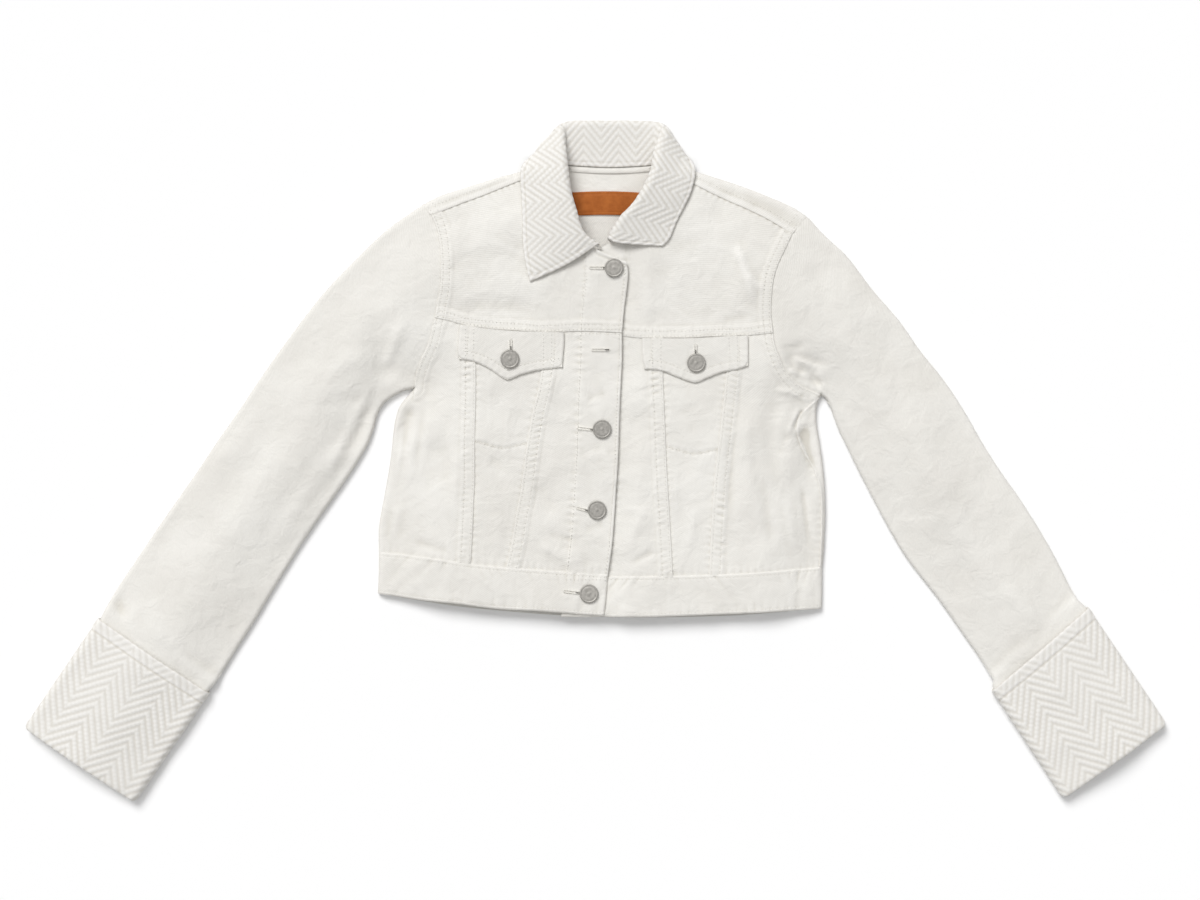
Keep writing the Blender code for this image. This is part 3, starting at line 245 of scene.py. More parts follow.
INNER_FELL = {
    "right": [(-55, 129), (-55, 112), (-55, 91), (-58, 72), (-63, 52), (-69, 17),
              (-76, -33), (-80, -53), (-84, -78), (-90, -104.8)],
    "left": [(67, 123.7), (67, 90), (69, 42), (71, -8), (74, -58), (77, -113.3)],
}
SIDE_SEAM = {
    "left": [(226, 67), (214, 57), (205, 48), (201, 37), (203, 22), (210, 7), (217, -6),
             (222, -18), (225, -33), (225.5, -48), (225.5, -68), (225, -88), (224, -105)],
}
FRONT_EDGE_YOKE = {
    "right": [(31, 200), (32, 187), (30, 167), (28, 152), (26, 129)],
    "left": [(-13, 208), (-13, 190), (-15, 170), (-16, 150), (-18, 126)],
}
FRONT_EDGE_BODY = {
    "right": [(26, 129), (26, 102), (25, 82), (24, 62), (23, 32), (22, 2), (20, -28),
              (18, -58), (16, -83), (12, -112)],
    "left": [(-18, 126), (-18, 102), (-19, 82), (-20, 62), (-21, 32), (-22, 2),
             (-24, -28), (-26, -58), (-28, -83), (-32, -114)],
}
FRONT_EDGE_BAND = {
    "right": [(12, -112), (10, -133), (8, -153.5)],
    "left": [(-32, -114), (-34, -134), (-35, -155)],
}
BAND_TOP = {
    "right": [[(-218, -90), (-196, -91.5), (-176, -94), (-156, -96.8), (-125, -101.2)],
              [(-125, -101.2), (-107, -103.2), (-90, -104.8)],
              [(-90, -104.8), (-76, -105.9), (-56, -107.3), (-36, -108.7), (-16, -110),
               (12, -112)]],
    "left": [[(224, -105), (204, -106.5), (184, -108.2), (164, -109.7), (144, -111),
              (113, -112.2)],
             [(113, -112.2), (95, -112.8), (77, -113.3)],
             [(77, -113.3), (64, -113.5), (44, -113.8), (24, -114), (4, -114),
              (-32, -114)]],
}
HEM = {
    "right": [(-219, -132), (-196, -135), (-176, -138), (-156, -140), (-136, -142),
              (-116, -145), (-96, -147), (-76, -148), (-56, -149), (-36, -150.5),
              (-16, -152), (8, -153.5)],
    "left": [(226.5, -147), (184, -149.5), (144, -151.5), (104, -153), (64, -154.5),
             (44, -155), (8, -155), (-35, -155)],
}

# %% Seams of the back, flaps, cuffs and small pieces
BACK_CENTRE_X = 4.0
BACK_FELL_TOP = 84.0
BACK_FELL_HEM = 62.0
BACK_BAND_TOP = [(-218, -90), (-130, -104), (0, -113), (130, -112), (227, -105)]
BACK_HEM = [(-219, -132), (-130, -146), (0, -155.5), (130, -154.5), (226.5, -147)]
BACK_NECK = [(-43, 302), (-38, 299.5), (-27, 297), (14, 295), (55, 297), (66, 299.5), (72, 302)]
NECK_BINDING = (-26.0, 54.0, 289.5, 294.0)      # left, right, low, high
NECK_LABEL = (-26.0, 44.0, 248.0, 271.5)
FLAP_SIDE_SEAMWARD = {
    "right": [(-136, 137.5), (-137.5, 120), (-138, 107), (-136, 103)],
    "left": [(152, 126.3), (152, 112), (152, 100), (151, 96)],
}
FLAP_BOTTOM = {
    "right": [(-136, 103), (-121, 100), (-106, 93), (-96, 86), (-88, 82.5), (-76, 87),
              (-61, 91), (-51, 92.5), (-34, 95)],
    "left": [(151, 96), (139, 92), (124, 89), (109, 83), (100, 79.5), (92, 81), (79, 86),
             (66, 91), (49, 93)],
}
FLAP_SIDE_CENTRE = {
    "right": [(-32, 129.5), (-32, 118), (-33, 106), (-34, 95)],
    "left": [(46, 123.7), (46, 112), (47, 100), (49, 93)],
}
FLAP_TOP = {
    "right": [(-136, 137.5), (-110, 133.3), (-76, 130.5), (-32, 129.5)],
    "left": [(152, 126.3), (125, 125.2), (94, 123.6), (46, 123.7)],
}
CUFF_CORNERS = {               # top outer, top inner, bottom outer, bottom inner
    "right": ((-499, -156), (-387, -231.5), (-574, -266), (-462, -342)),
    "left": ((493.5, -145), (396.5, -229), (573, -263), (468, -338)),
}
POCKET_BAG = {                 # the bag's lower edge, sewn through the pocket panel
    "right": [(-121, 21), (-111, 18), (-101, 15), (-91, 14), (-81, 16), (-69, 19)],
    "left": [(71, 15), (79, 13), (89, 10), (97, 8), (109, 10), (122, 13)],
}

# %% [markdown]
# ## How laid cloth rises
# A flat jacket is two layers that join in a round fold at the sides. From a fold the top
# layer climbs steeply, then slowly, to its full height. So the height of any point comes
# from its distance to the nearest folded edge. The main folds and the fine creases are
# soft ridges and troughs along short lines, placed where the cloth shows them.

# %% Distance to the folded edges
def sleeve_edges(side):
    """The outer and inner edge of a sleeve, first what shows, then what the cuff hides."""
    top_outer, top_inner, low_outer, low_inner = [np.array(c, float) for c in CUFF_CORNERS[side]]
    across = (top_inner - top_outer) / np.linalg.norm(top_inner - top_outer)
    edges = []
    for line, top, low, inward in ((SLEEVE_OUTER[side], top_outer, low_outer, across),
                                   (SLEEVE_INNER[side], top_inner, low_inner, -across)):
        length = np.linalg.norm(low - top)
        run = (low - top) / length
        inside = [top + run * place + inward * SLEEVE_IN_CUFF
                  for place in (-1.5, 20.0, 40.0)]
        visible = dense_curve(line)
        seen = lengths_along(visible)[-1] - 9.0
        edges.append((at_lengths(visible, np.linspace(0, seen, 150)), np.array(inside)))
    return edges


def folded_edges():
    """Every line where the garment folds over, with the garment on its left."""
    edges = []
    for side, turn in (("right", 1), ("left", -1)):
        (outer_seen, outer_inside), (inner_seen, inner_inside) = sleeve_edges(side)
        outer = np.vstack([dense_curve(SHOULDER_EDGE[side]), outer_seen[1:], outer_inside])
        inner = np.vstack([inner_seen, inner_inside])
        body = joined(dense_curve(BODY_SIDE[side]), dense_curve(BAND_SIDE[side]))
        edges += [outer[::turn], inner[::-turn], body[::turn]]
    return edges


EDGES = folded_edges()


def edge_distance(points, chunk=4000):
    """Distance of each point to the nearest folded edge."""
    best = np.full(len(points), 1e9)
    for line in EDGES:
        starts, spans = line[:-1], np.diff(line, axis=0)
        for first in range(0, len(points), chunk):
            part = slice(first, first + chunk)
            offset = points[part, None, :] - starts[None]
            along = np.clip((offset * spans).sum(2) / (spans**2).sum(1), 0, 1)
            found = np.linalg.norm(offset - along[..., None] * spans[None], axis=2).min(1)
            best[part] = np.where(found < best[part], found, best[part])
    return best


print("Folded edges:", len(EDGES), "lines,", sum(len(line) for line in EDGES), "points")

# %% [markdown]
# ## Folds and creases
# Each row of the tables is one fold: where it starts and ends, its half width, and how
# far it rises (or sinks, when negative). Real creases are uneven, so no two rows match.

# %% Tables of folds and creases
FOLDS = [
    ((-204, 74), (-226, 160), 14, -3.5),
    ((-216, 60), (-262, 5), 12, -3.0),
    ((-236, 60), (-245, 120), 16, 3.0),
    ((-184, 60), (-203, 5), 9, -4.5),
    ((-178, 40), (-190, -40), 12, 2.5),
    ((-160, 30), (-170, -50), 12, -2.0),
    ((186, 108), (236, 92), 8, -3.5),
    ((196, 92), (238, 74), 6, -3.0),
    ((206, 40), (222, -20), 9, -4.0),
    ((184, 60), (196, -30), 12, 2.5),
    ((176, 80), (178, -40), 10, -2.0),
    ((140, 220), (160, 152), 12, 2.0),
    ((-488, -128), (-470, -160), 9, -2.0),
    ((330, -60), (392, -150), 16, -2.5),
]
CREASES = [                    # start, end, half width, rise
    ((196, 30), (214, 60), 3.6, -1.0),
    ((191, 24), (205, 58), 3.2, 0.8),
    ((183, 4), (194, 36), 5.0, -0.6),
    ((214, 90), (226, 72), 3.4, -0.9),
    ((222, 94), (233, 66), 3.2, 0.8),
    ((193, 99), (211, 86), 3.0, -0.8),
    ((196, 106), (220, 92), 3.2, 0.7),
    ((196, 104), (236, 90), 3.0, 0.9),
    ((190, 92), (226, 82), 2.6, 0.8),
    ((184, 112), (214, 118), 4.0, -0.8),
    ((139, 222), (161, 150), 5.0, 1.1),
    ((124, 142), (161, 147), 4.0, -0.4),
    ((150, 190), (168, 168), 4.0, 0.7),
    ((-141, 157), (-36, 152), 9.0, -0.8),
    ((-150, 190), (-120, 150), 10.0, 0.8),
    ((-222, 80), (-276, -28), 6.0, 1.4),
    ((-212, 90), (-190, 150), 6.0, 1.2),
    ((-250, 30), (-330, -95), 9.0, 1.0),
    ((-300, 60), (-420, -110), 16.0, -1.1),
    ((-330, 70), (-400, -40), 12.0, 0.8),
    ((-424, -190), (-384, -226), 5.0, 0.4),
    ((-410, -222), (-372, -196), 5.0, -0.35),
    ((-478, -134), (-474, -176), 4.0, -0.45),
    ((-468, -140), (-452, -200), 6.0, 0.35),
    ((-194, 40), (-203, -24), 4.0, 1.2),
    ((-172, 62), (-182, -20), 5.0, -1.0),
    ((-150, 60), (-152, -60), 8.0, -0.8),
    ((-138, 20), (-142, -80), 6.0, 0.6),
    ((-196, -40), (-206, -84), 5.0, 0.7),
    ((-186, -78), (-140, -92), 5.0, -0.7),
    ((-108, 5), (-86, -12), 8.0, -0.6),
    ((-100, -50), (-96, -96), 6.0, 0.6),
    ((-60, -20), (-36, -60), 8.0, -0.7),
    ((-60, -82), (-10, -104), 6.0, 0.9),
    ((-50, -70), (-14, -84), 5.0, -0.7),
    ((-48, 92), (-44, 30), 6.0, 0.5),
    ((12, 70), (-14, 62), 5.0, -0.5),
    ((14, 10), (-12, 4), 5.0, 0.5),
    ((10, -60), (-16, -70), 5.0, -0.5),
    ((42, 60), (36, -20), 9.0, -0.7),
    ((52, -40), (24, -96), 7.0, 0.8),
    ((60, -88), (30, -104), 4.0, -0.7),
    ((88, 60), (100, 20), 9.0, -0.6),
    ((100, -40), (90, -100), 7.0, 0.7),
    ((150, 60), (152, -50), 8.0, 0.9),
    ((136, 40), (134, -70), 6.0, -0.8),
    ((166, -10), (176, -92), 7.0, -0.9),
    ((190, -30), (200, -96), 6.0, 0.8),
    ((206, -20), (214, -90), 4.0, -0.8),
    ((206, 66), (176, 74), 4.0, 0.9),
    ((214, 60), (196, 20), 3.5, 1.0),
    ((240, 60), (300, -60), 10.0, 1.0),
    ((262, 150), (330, 20), 18.0, -1.2),
    ((300, 60), (380, -80), 16.0, 1.0),
    ((350, -20), (440, -150), 14.0, -1.1),
    ((404, -120), (450, -170), 8.0, 0.9),
    ((404, -200), (440, -186), 5.0, 0.4),
    ((410, -188), (452, -164), 6.0, -0.35),
    ((238, 190), (300, 120), 14.0, 0.8),
    ((216, 200), (236, 140), 10.0, -0.9),
    ((-96, 240), (-60, 170), 14.0, -0.6),
    ((80, 230), (110, 160), 14.0, -0.6),
    ((40, 200), (60, 140), 10.0, 0.6),
    ((-140, 240), (-146, 180), 7.0, 0.7),
]


def ridges(points, table):
    """Height of the ridges and troughs of a table at each point."""
    height = np.zeros(len(points))
    for start, end, half_width, rise in table:
        start, end = np.array(start, float), np.array(end, float)
        span = end - start
        along = np.clip(((points - start) @ span) / (span @ span), 0, 1)
        apart = np.linalg.norm(points - start - along[:, None] * span, axis=1)
        fade = ease(along * 4) * ease((1 - along) * 2.5)
        height += rise * fade * hump(apart, 0, half_width)
    return height


CREASE_GAIN = 1.9
WAVES = [                      # length and turn in degrees of slow waves, height, phase
    (97.0, 20.0, 0.5, 0.3), (71.0, 75.0, 0.4, 1.9), (53.0, 130.0, 0.26, 4.0),
    (41.0, 48.0, 0.15, 2.2), (29.0, 160.0, 0.1, 5.1), (23.0, 100.0, 0.08, 0.9),
    (17.0, 12.0, 0.05, 3.3),
]
CRUMPLES = [                   # length, turn, height and phase of the faint sharp creases
    (46.0, 63.0, 0.3, 0.7), (38.0, 118.0, 0.26, 2.9), (31.0, 171.0, 0.2, 1.3),
    (27.0, 35.0, 0.16, 4.4),
]


def unevenness(points):
    """Cloth never lies quite flat: a few slow waves that cross each other."""
    height = np.zeros(len(points))
    for length, turn, rise, phase in WAVES:
        turn = math.radians(turn)
        place = points @ np.array([math.cos(turn), math.sin(turn)])
        bend = 0.6 * np.sin(points @ np.array([-math.sin(turn), math.cos(turn)]) / length * 3.1)
        height += rise * np.sin(place * math.tau / length + phase + bend)
    for length, turn, rise, phase in CRUMPLES:
        turn = math.radians(turn)
        place = points @ np.array([math.cos(turn), math.sin(turn)]) / length
        cross = points @ np.array([-math.sin(turn), math.cos(turn)]) / length
        bend = 0.55 * np.sin(cross * 1.7 + phase) + 0.3 * np.sin(cross * 3.9 + 2 * phase)
        here = ease(np.sin(cross * 1.1 + phase * 3) * np.sin(place * 0.9 + phase) * 1.3)
        height += rise * here * hump((place + bend) % 1.0, 0.5, 0.13)
    return height


# %% [markdown]
# ## Puckered seams
# Stitching draws denim together, so a felled seam shows small dimples across it, like a
# ladder. `puckers` adds an uneven ripple beside each stitched line. It needs where a
# point lies along the line and how far off it is, which `beside` works out.

# %% Places beside a line
LINE_STEP = 5.0                # between the points of a line when places beside it are sought


def beside(points, line, chunk=4000):
    """How far along a line each point lies, and its distance to the line's left."""
    total = lengths_along(line)[-1]
    line = at_lengths(line, np.linspace(0, total, max(3, int(total / LINE_STEP))))
    starts, spans = line[:-1], np.diff(line, axis=0)
    length = lengths_along(line)
    along_all, apart_all = np.empty(len(points)), np.empty(len(points))
    for first in range(0, len(points), chunk):
        part = slice(first, first + chunk)
        rows = np.arange(len(points[part]))
        offset = points[part, None, :] - starts[None]
        along = np.clip((offset * spans).sum(2) / (spans**2).sum(1), 0, 1)
        apart = offset - along[..., None] * spans[None]
        distance = np.linalg.norm(apart, axis=2)
        nearest = distance.argmin(1)
        sign = np.sign(spans[nearest, 0] * offset[rows, nearest, 1]
                       - spans[nearest, 1] * offset[rows, nearest, 0])
        step = length[nearest + 1] - length[nearest]
        along_all[part] = length[nearest] + along[rows, nearest] * step
        apart_all[part] = distance[rows, nearest] * np.where(sign == 0, 1, sign)
    return along_all, apart_all


def uneven_ripple(along, wave, seed):
    """A ripple whose length and height wander."""
    wander = 0.9 * np.sin(along / 31.0 + seed) + 0.5 * np.sin(along / 13.0 + 2.1 * seed)
    strength = 0.62 + 0.38 * np.sin(along / 43.0 + 1.7 * seed) * np.sin(along / 17.0 + seed)
    return strength * np.sin(along * math.tau / wave + wander * 2.2)


print("Creases:", len(FOLDS) + len(CREASES), "placed by hand")

# %% [markdown]
# ## The height of the cloth
# `top_height` gives the height of the upper face at any place, `bottom_height` that of the
# face on the table. Everything that lies on the jacket is placed with these two.

# %% Upper and lower face
def neck_lift(points):
    """The back of the neck lies on the collar's fall, so the garment is raised there."""
    across = ease((118.0 - np.abs(points[:, 0] - NECK_CENTRE_X)) / 34.0)
    return COLLAR_LIFT * across * ease((points[:, 1] - 215.0) / 60.0)


def folded_round(points, share):
    """Distance to the folded edge, and the radius and sine of the fold; share is 1 in a cuff."""
    radius = FOLD_RADIUS + share * (CUFF_RADIUS - SLEEVE_IN_CUFF - FOLD_RADIUS)
    distance = edge_distance(points)
    return distance, radius, np.sqrt(1 - np.clip((radius - distance) / radius, 0, 1) ** 2)


def top_height(points, share=0.0, fine=1.0):
    """Upper face: share is 1 inside a cuff, fine scales the unevenness."""
    distance, radius, sine = folded_round(points, share)
    crown = CROWN + share * (CUFF_CROWN - CUFF_SLACK - CROWN)
    rise = crown * ease(np.clip(distance / CROWN_REACH, 0, 1))
    detail = CREASE_GAIN * ridges(points, CREASES) + fine * unevenness(points)
    return (share * SLEEVE_IN_CUFF + radius + radius * sine + rise + neck_lift(points)
            + ridges(points, FOLDS) * ease(distance / 14.0)
            + detail * ease(distance / 12.0))


def bottom_height(points, share=0.0):
    """Face on the table, round at the folded edges."""
    distance, radius, sine = folded_round(points, share)
    inner = 0.25 * (1 + np.sin(points[:, 0] / 23.0 + points[:, 1] / 31.0))
    return (share * SLEEVE_IN_CUFF + radius - radius * sine + neck_lift(points)
            + inner * ease((distance - 12.0) / 20.0))


def underlap(points, drop):
    """How far the left front dips where the right placket lies over it."""
    edge = np.array((FRONT_EDGE_YOKE["right"] + FRONT_EDGE_BODY["right"][1:]
                     + FRONT_EDGE_BAND["right"][1:])[::-1], float)
    edge_x = np.interp(points[:, 1], edge[:, 1], edge[:, 0])
    return -drop * ease((edge_x + UNDERLAP_EASE - points[:, 0]) / (UNDERLAP_EASE - 2.0))


# %% [markdown]
# ## Making a panel
# A cut panel starts as a plain grid. Its points are carried into the outline between four
# edges, which is how a tailor would stretch a net over a pattern piece. Then each point
# gets its height. The columns crowd near the edges, where the cloth turns over or is
# sewn, and are wide apart in the middle. Last, Solidify gives the cloth its thickness.

# %% Edge spacing and the net between four edges
FOLD_STEPS = [0.0, 0.3, 0.9, 1.8, 3.0, 4.4]
LAP_STEPS = [0.0, 0.35, 1.0, 2.0, 3.2, 4.5, 5.8, 7.1, 8.4, 9.6, 10.7, 11.6, 12.4, 13.2, 14.2,
             15.6]
YOKE_STEPS = [0.0, 0.35, 1.0, 2.0, 3.2, 4.5, 5.8, 7.1, 8.3, 9.2, 10.0, 10.9, 12.0]


def shares_across(widths, first, last, count):
    """For each row, the shares at which its points lie, given its width in mm."""
    rows = []
    for width in widths:
        low = np.array(first) if first else np.array([0.0])
        high = np.array(last) if last else np.array([0.0])
        fit = min(1.0, 0.9 * width / max(low[-1] + high[-1], 1e-6))
        low, high = low * fit, width - high[::-1] * fit
        rows.append(np.concatenate([low, np.linspace(low[-1], high[0], count + 1)[1:-1], high]))
        rows[-1] /= width
    return np.array(rows)


def net(top, bottom, left, right, cell, first=None, last=None, rows=None, fade=1, share=None):
    """Points in plan between four edges; top and bottom run left to right."""
    height = max(lengths_along(left)[-1], lengths_along(right)[-1])
    if share is None:
        if isinstance(rows, list):
            share = shares_across([height], rows[0], rows[1], int(height / cell) + 1)[0]
        else:
            share = np.linspace(0, 1, int(height / (rows or cell)) + 2)
        left, right = at_shares(left, share), at_shares(right, share)
    width = np.linalg.norm(right - left, axis=1)
    width = np.maximum(width, 0.5 * width.max() * (1 - share))
    u = shares_across(width, first, last, int(width.max() / cell) + 2)
    v = 1 - (1 - share[:, None, None]) ** fade
    on_top = at_shares(top, u)
    on_bottom = at_shares(bottom, u)
    u = u[..., None]
    corners = ((1 - u) * (1 - v) * top[0] + u * (1 - v) * top[-1]
               + (1 - u) * v * bottom[0] + u * v * bottom[-1])
    return ((1 - v) * on_top + v * on_bottom
            + (1 - u) * left[:, None] + u * right[:, None] - corners)


def stretch_under(plan, *sides, amount=2.0):
    """Let edges of a panel run on a little, to lie under the pieces sewn over them."""
    for side in sides:
        edge, inner = {"top": (plan[0], plan[1]), "bottom": (plan[-1], plan[-2]),
                       "left": (plan[:, 0], plan[:, 1]),
                       "right": (plan[:, -1], plan[:, -2])}[side]
        away = edge - inner
        edge += away / np.maximum(np.linalg.norm(away, axis=1), 1e-6)[:, None] * amount


# %% From plan and height to a piece of cloth
def only(*objects):
    """Select these objects alone."""
    bpy.ops.object.select_all(action="DESELECT")
    for thing in objects:
        thing.select_set(True)
    bpy.context.view_layer.objects.active = objects[0]


def apply_all(piece):
    """Apply the modifiers of a piece in their order."""
    only(piece)
    for modifier in list(piece.modifiers):
        bpy.ops.object.modifier_apply(modifier=modifier.name)


def flat_map(points):
    """The place of each point on the cloth before it was laid, in mm."""
    across = np.linalg.norm(np.diff(points, axis=1), axis=2)
    down = np.linalg.norm(np.diff(points, axis=0), axis=2)
    u = np.concatenate([np.zeros((len(points), 1)), np.cumsum(across, 1)], axis=1)
    u = u - u[:, -1:] / 2
    v = np.concatenate([np.zeros((1, points.shape[1])), np.cumsum(down, 0)], axis=0)
    return np.dstack([u, v])


def cloth_grid(name, points, upward=True, flat=None):
    """A Blender grid carried to these points, in mm, with its flat cut as UV map."""
    rows, columns = points.shape[:2]
    bpy.ops.object.select_all(action="DESELECT")
    bpy.ops.mesh.primitive_grid_add(x_subdivisions=columns - 1, y_subdivisions=rows - 1,
                                    size=1.0)
    piece = bpy.context.object
    piece.name = piece.data.name = name
    mesh = piece.data
    place = points + np.array([*CENTRE_SHIFT, 0.0])
    mesh.vertices.foreach_set("co", (place * MM).reshape(-1).astype(np.float32))
    flat = flat_map(points) if flat is None else flat
    corner = np.empty(len(mesh.loops), np.int32)
    mesh.loops.foreach_get("vertex_index", corner)
    cut = (flat * MM).reshape(-1, 2)[corner]
    mesh.uv_layers.active.data.foreach_set("uv", cut.reshape(-1).astype(np.float32))
    mesh.update()
    middle = np.empty(len(mesh.polygons) * 3, np.float32)
    mesh.polygons.foreach_get("normal", middle)
    if (middle.reshape(-1, 3)[:, 2].sum() > 0) != upward:
        mesh.flip_normals()
    return piece


def thicken(piece, wall, smooth=40.0):
    """Give a surface its thickness below its outer face, and smooth shading."""
    solid = piece.modifiers.new("wall", "SOLIDIFY")
    solid.thickness = wall * MM
    solid.offset = -1.0
    solid.use_even_offset = False
    apply_all(piece)
    bpy.ops.object.shade_smooth_by_angle(angle=math.radians(smooth))
    return piece


SHOWN = []                     # the finished pieces so far


def settle(piece, node, material):
    """Say what a finished piece is: the body, the node and the finish."""
    piece.data.materials.clear()
    piece.data.materials.append(material)
    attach(piece, "root")
    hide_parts(node)
    SHOWN.append(piece)
    print(f"{piece.name}: {len(piece.data.polygons)} faces")


# %% [markdown]
# ## Finishes
# White denim is a twill with a faint diagonal grain, and it takes on a soft mottled tone
# where it was washed. The grain follows the cut of each panel, so it reads the UV map,
# while the mottling is the same cloud all over the jacket, so it reads Object
# coordinates. The herringbone is a wool cloth whose ribs change direction in columns.
# Cloth that stands up is rubbed pale, and shade is painted darker into its hollows; each net
# keeps how far it stands out in an attribute named relief. An effect that several finishes
# share is built once, as a node group, and placed in each finish with its own values.

# %% Material helpers
def new_finish(name, rough):
    """A material with a Principled shader, and a short way to add and link nodes."""
    material = bpy.data.materials.new(name)
    material.use_nodes = True
    tree = material.node_tree
    shader = tree.nodes["Principled BSDF"]
    shader.inputs["Roughness"].default_value = rough
    return material, tree, shader


def add(tree, kind, values=(), **settings):
    """A node with its settings, and its inputs set or linked by name or number."""
    node = tree.nodes.new(kind)
    for key, value in settings.items():
        setattr(node, key, value)
    for key, value in dict(values).items():
        if isinstance(value, bpy.types.NodeSocket):
            tree.links.new(value, node.inputs[key])
        else:
            node.inputs[key].default_value = value
    return node


def tones(tree, factor, stops):
    """A colour ramp from grey or colour stops."""
    ramp = tree.nodes.new("ShaderNodeValToRGB")
    while len(ramp.color_ramp.elements) < len(stops):
        ramp.color_ramp.elements.new(0.5)
    for element, (place, colour) in zip(ramp.color_ramp.elements, stops):
        element.position = place
        element.color = (*colour, 1.0)
    tree.links.new(factor, ramp.inputs["Fac"])
    return ramp.outputs["Color"]


def math_node(tree, operation, one, two=0.0, three=0.0):
    """The result of a Math node."""
    node = add(tree, "ShaderNodeMath", {0: one, 1: two, 2: three}, operation=operation)
    return node.outputs[0]


def mixed(tree, factor, one, two, blend="MIX"):
    """Two colours mixed by a factor, or the second one multiplied over the first."""
    node = add(tree, "ShaderNodeMix", {0: factor, 6: one, 7: two}, data_type="RGBA",
               blend_type=blend)
    return node.outputs[2]


def share_between(tree, value, low, high):
    """How far a value lies between two others, from 0 to 1."""
    node = add(tree, "ShaderNodeMapRange", {"Value": value, "From Min": low, "From Max": high})
    return node.outputs["Result"]


def bumped(tree, shader, height, strength, distance, normal=None):
    """A Bump node that feeds the shader's Normal; it may stand on another Bump's normal."""
    bump = add(tree, "ShaderNodeBump", {"Height": height, "Strength": strength,
                                        "Distance": distance})
    if normal:
        tree.links.new(normal, bump.inputs["Normal"])
    tree.links.new(bump.outputs["Normal"], shader.inputs["Normal"])
    return bump.outputs["Normal"]


# %% Node groups for the effects that several finishes share
WHITE = (1.0, 1.0, 1.0, 1.0)


def new_group(name, inputs, outputs):
    """An empty node group with named sockets, and the sockets of its two end nodes."""
    group = bpy.data.node_groups.new(name, "ShaderNodeTree")
    for way, sockets in (("INPUT", inputs), ("OUTPUT", outputs)):
        for label, kind in sockets.items():
            group.interface.new_socket(label, in_out=way, socket_type="NodeSocket" + kind)
    given = group.nodes.new("NodeGroupInput").outputs
    result = group.nodes.new("NodeGroupOutput").inputs
    return group, given, result


def placed(tree, group, values):
    """The outputs of a node group that is placed in a material with its own values."""
    return add(tree, "ShaderNodeGroup", values, node_tree=group).outputs


def mottle_group():
    """A cloud that wanders between a low and a high tone."""
    group, given, result = new_group(
        "mottle", {"Place": "Vector", "Scale": "Float", "Detail": "Float",
                   "Roughness": "Float", "Low": "Color", "High": "Color"},
        {"Colour": "Color", "Cloud": "Float"})
    noise = add(group, "ShaderNodeTexNoise", {key: given[label] for key, label in (
        ("Vector", "Place"), ("Scale", "Scale"), ("Detail", "Detail"),
        ("Roughness", "Roughness"))})
    cloud = noise.outputs["Fac"]
    share = share_between(group, cloud, 0.3, 0.7)
    group.links.new(mixed(group, share, given["Low"], given["High"]), result["Colour"])
    group.links.new(cloud, result["Cloud"])
    return group


def shade_and_wear_group():
    """A base tone with shade painted darker into hollows, and made paler where raised cloth is
    rubbed.
    """
    group, given, result = new_group(
        "shade_and_wear", {"Base": "Color", "Relief": "Float", "Reach": "Float", "Middle": "Float",
                 "Hollow": "Color", "Raised": "Color"}, {"Colour": "Color"})
    low = math_node(group, "MULTIPLY", given["Reach"], -1.0)
    share = share_between(group, given["Relief"], low, given["Reach"])
    below = share_between(group, share, 0.0, given["Middle"])
    above = share_between(group, share, given["Middle"], 1.0)
    tint = mixed(group, above, mixed(group, below, given["Hollow"], WHITE), given["Raised"])
    group.links.new(mixed(group, 1.0, given["Base"], tint, "MULTIPLY"), result["Colour"])
    return group


MOTTLE = mottle_group()
SHADE_AND_WEAR = shade_and_wear_group()
print("Node groups:", [group.name for group in bpy.data.node_groups])

# %% White denim
TWILL_TURN = 63.0              # degrees from the cut's width to the twill's diagonal


def make_denim():
    finish, tree, shader = new_finish("white_denim", 0.88)
    place = add(tree, "ShaderNodeTexCoord").outputs
    base = placed(tree, MOTTLE, {"Place": place["Object"], "Scale": 14.0, "Detail": 3.0,
                                 "Roughness": 0.55, "Low": (0.775, 0.752, 0.708, 1.0),
                                 "High": (0.828, 0.810, 0.770, 1.0)})["Colour"]
    relief = add(tree, "ShaderNodeAttribute", attribute_name="relief").outputs["Fac"]
    # Painted shade: hollows in the relief are coloured darker; raised cloth is made paler as
    # rubbed wear.
    worn = placed(tree, SHADE_AND_WEAR, {"Base": base, "Relief": relief, "Reach": 0.6, "Middle": 0.5,
                               "Hollow": (0.84, 0.825, 0.79, 1.0),
                               "Raised": (1.07, 1.07, 1.08, 1.0)})["Colour"]
    slub = add(tree, "ShaderNodeTexNoise", {"Vector": place["Object"], "Scale": 420.0,
                                            "Detail": 2.0, "Roughness": 0.6})
    flat = add(tree, "ShaderNodeMapping", {"Vector": place["UV"],
                                           "Rotation": (0.0, 0.0, math.radians(TWILL_TURN))})
    twill = add(tree, "ShaderNodeTexWave", {"Vector": flat.outputs["Vector"], "Scale": 190.0,
                                            "Distortion": 1.6, "Detail": 2.0,
                                            "Detail Scale": 2.0},
                wave_type="BANDS", bands_direction="X", wave_profile="SIN")
    grain = math_node(tree, "MULTIPLY_ADD", slub.outputs["Fac"], 0.5,
                      math_node(tree, "MULTIPLY", twill.outputs["Fac"], 0.5))
    shade = tones(tree, grain, [(0.25, (0.93, 0.93, 0.92)), (0.7, (1.0, 1.0, 1.0))])
    tree.links.new(mixed(tree, 1.0, worn, shade, "MULTIPLY"), shader.inputs["Base Color"])
    hand = add(tree, "ShaderNodeTexNoise", {"Vector": place["Object"], "Scale": 62.0,
                                            "Detail": 3.0, "Roughness": 0.55,
                                            "Distortion": 0.6})
    slack = bumped(tree, shader, hand.outputs["Fac"], 0.6, 0.0025)
    bumped(tree, shader, grain, 0.35, 0.0004, slack)
    shader.inputs["Sheen Weight"].default_value = 0.08
    shader.inputs["Sheen Roughness"].default_value = 0.6
    return finish


DENIM = make_denim()

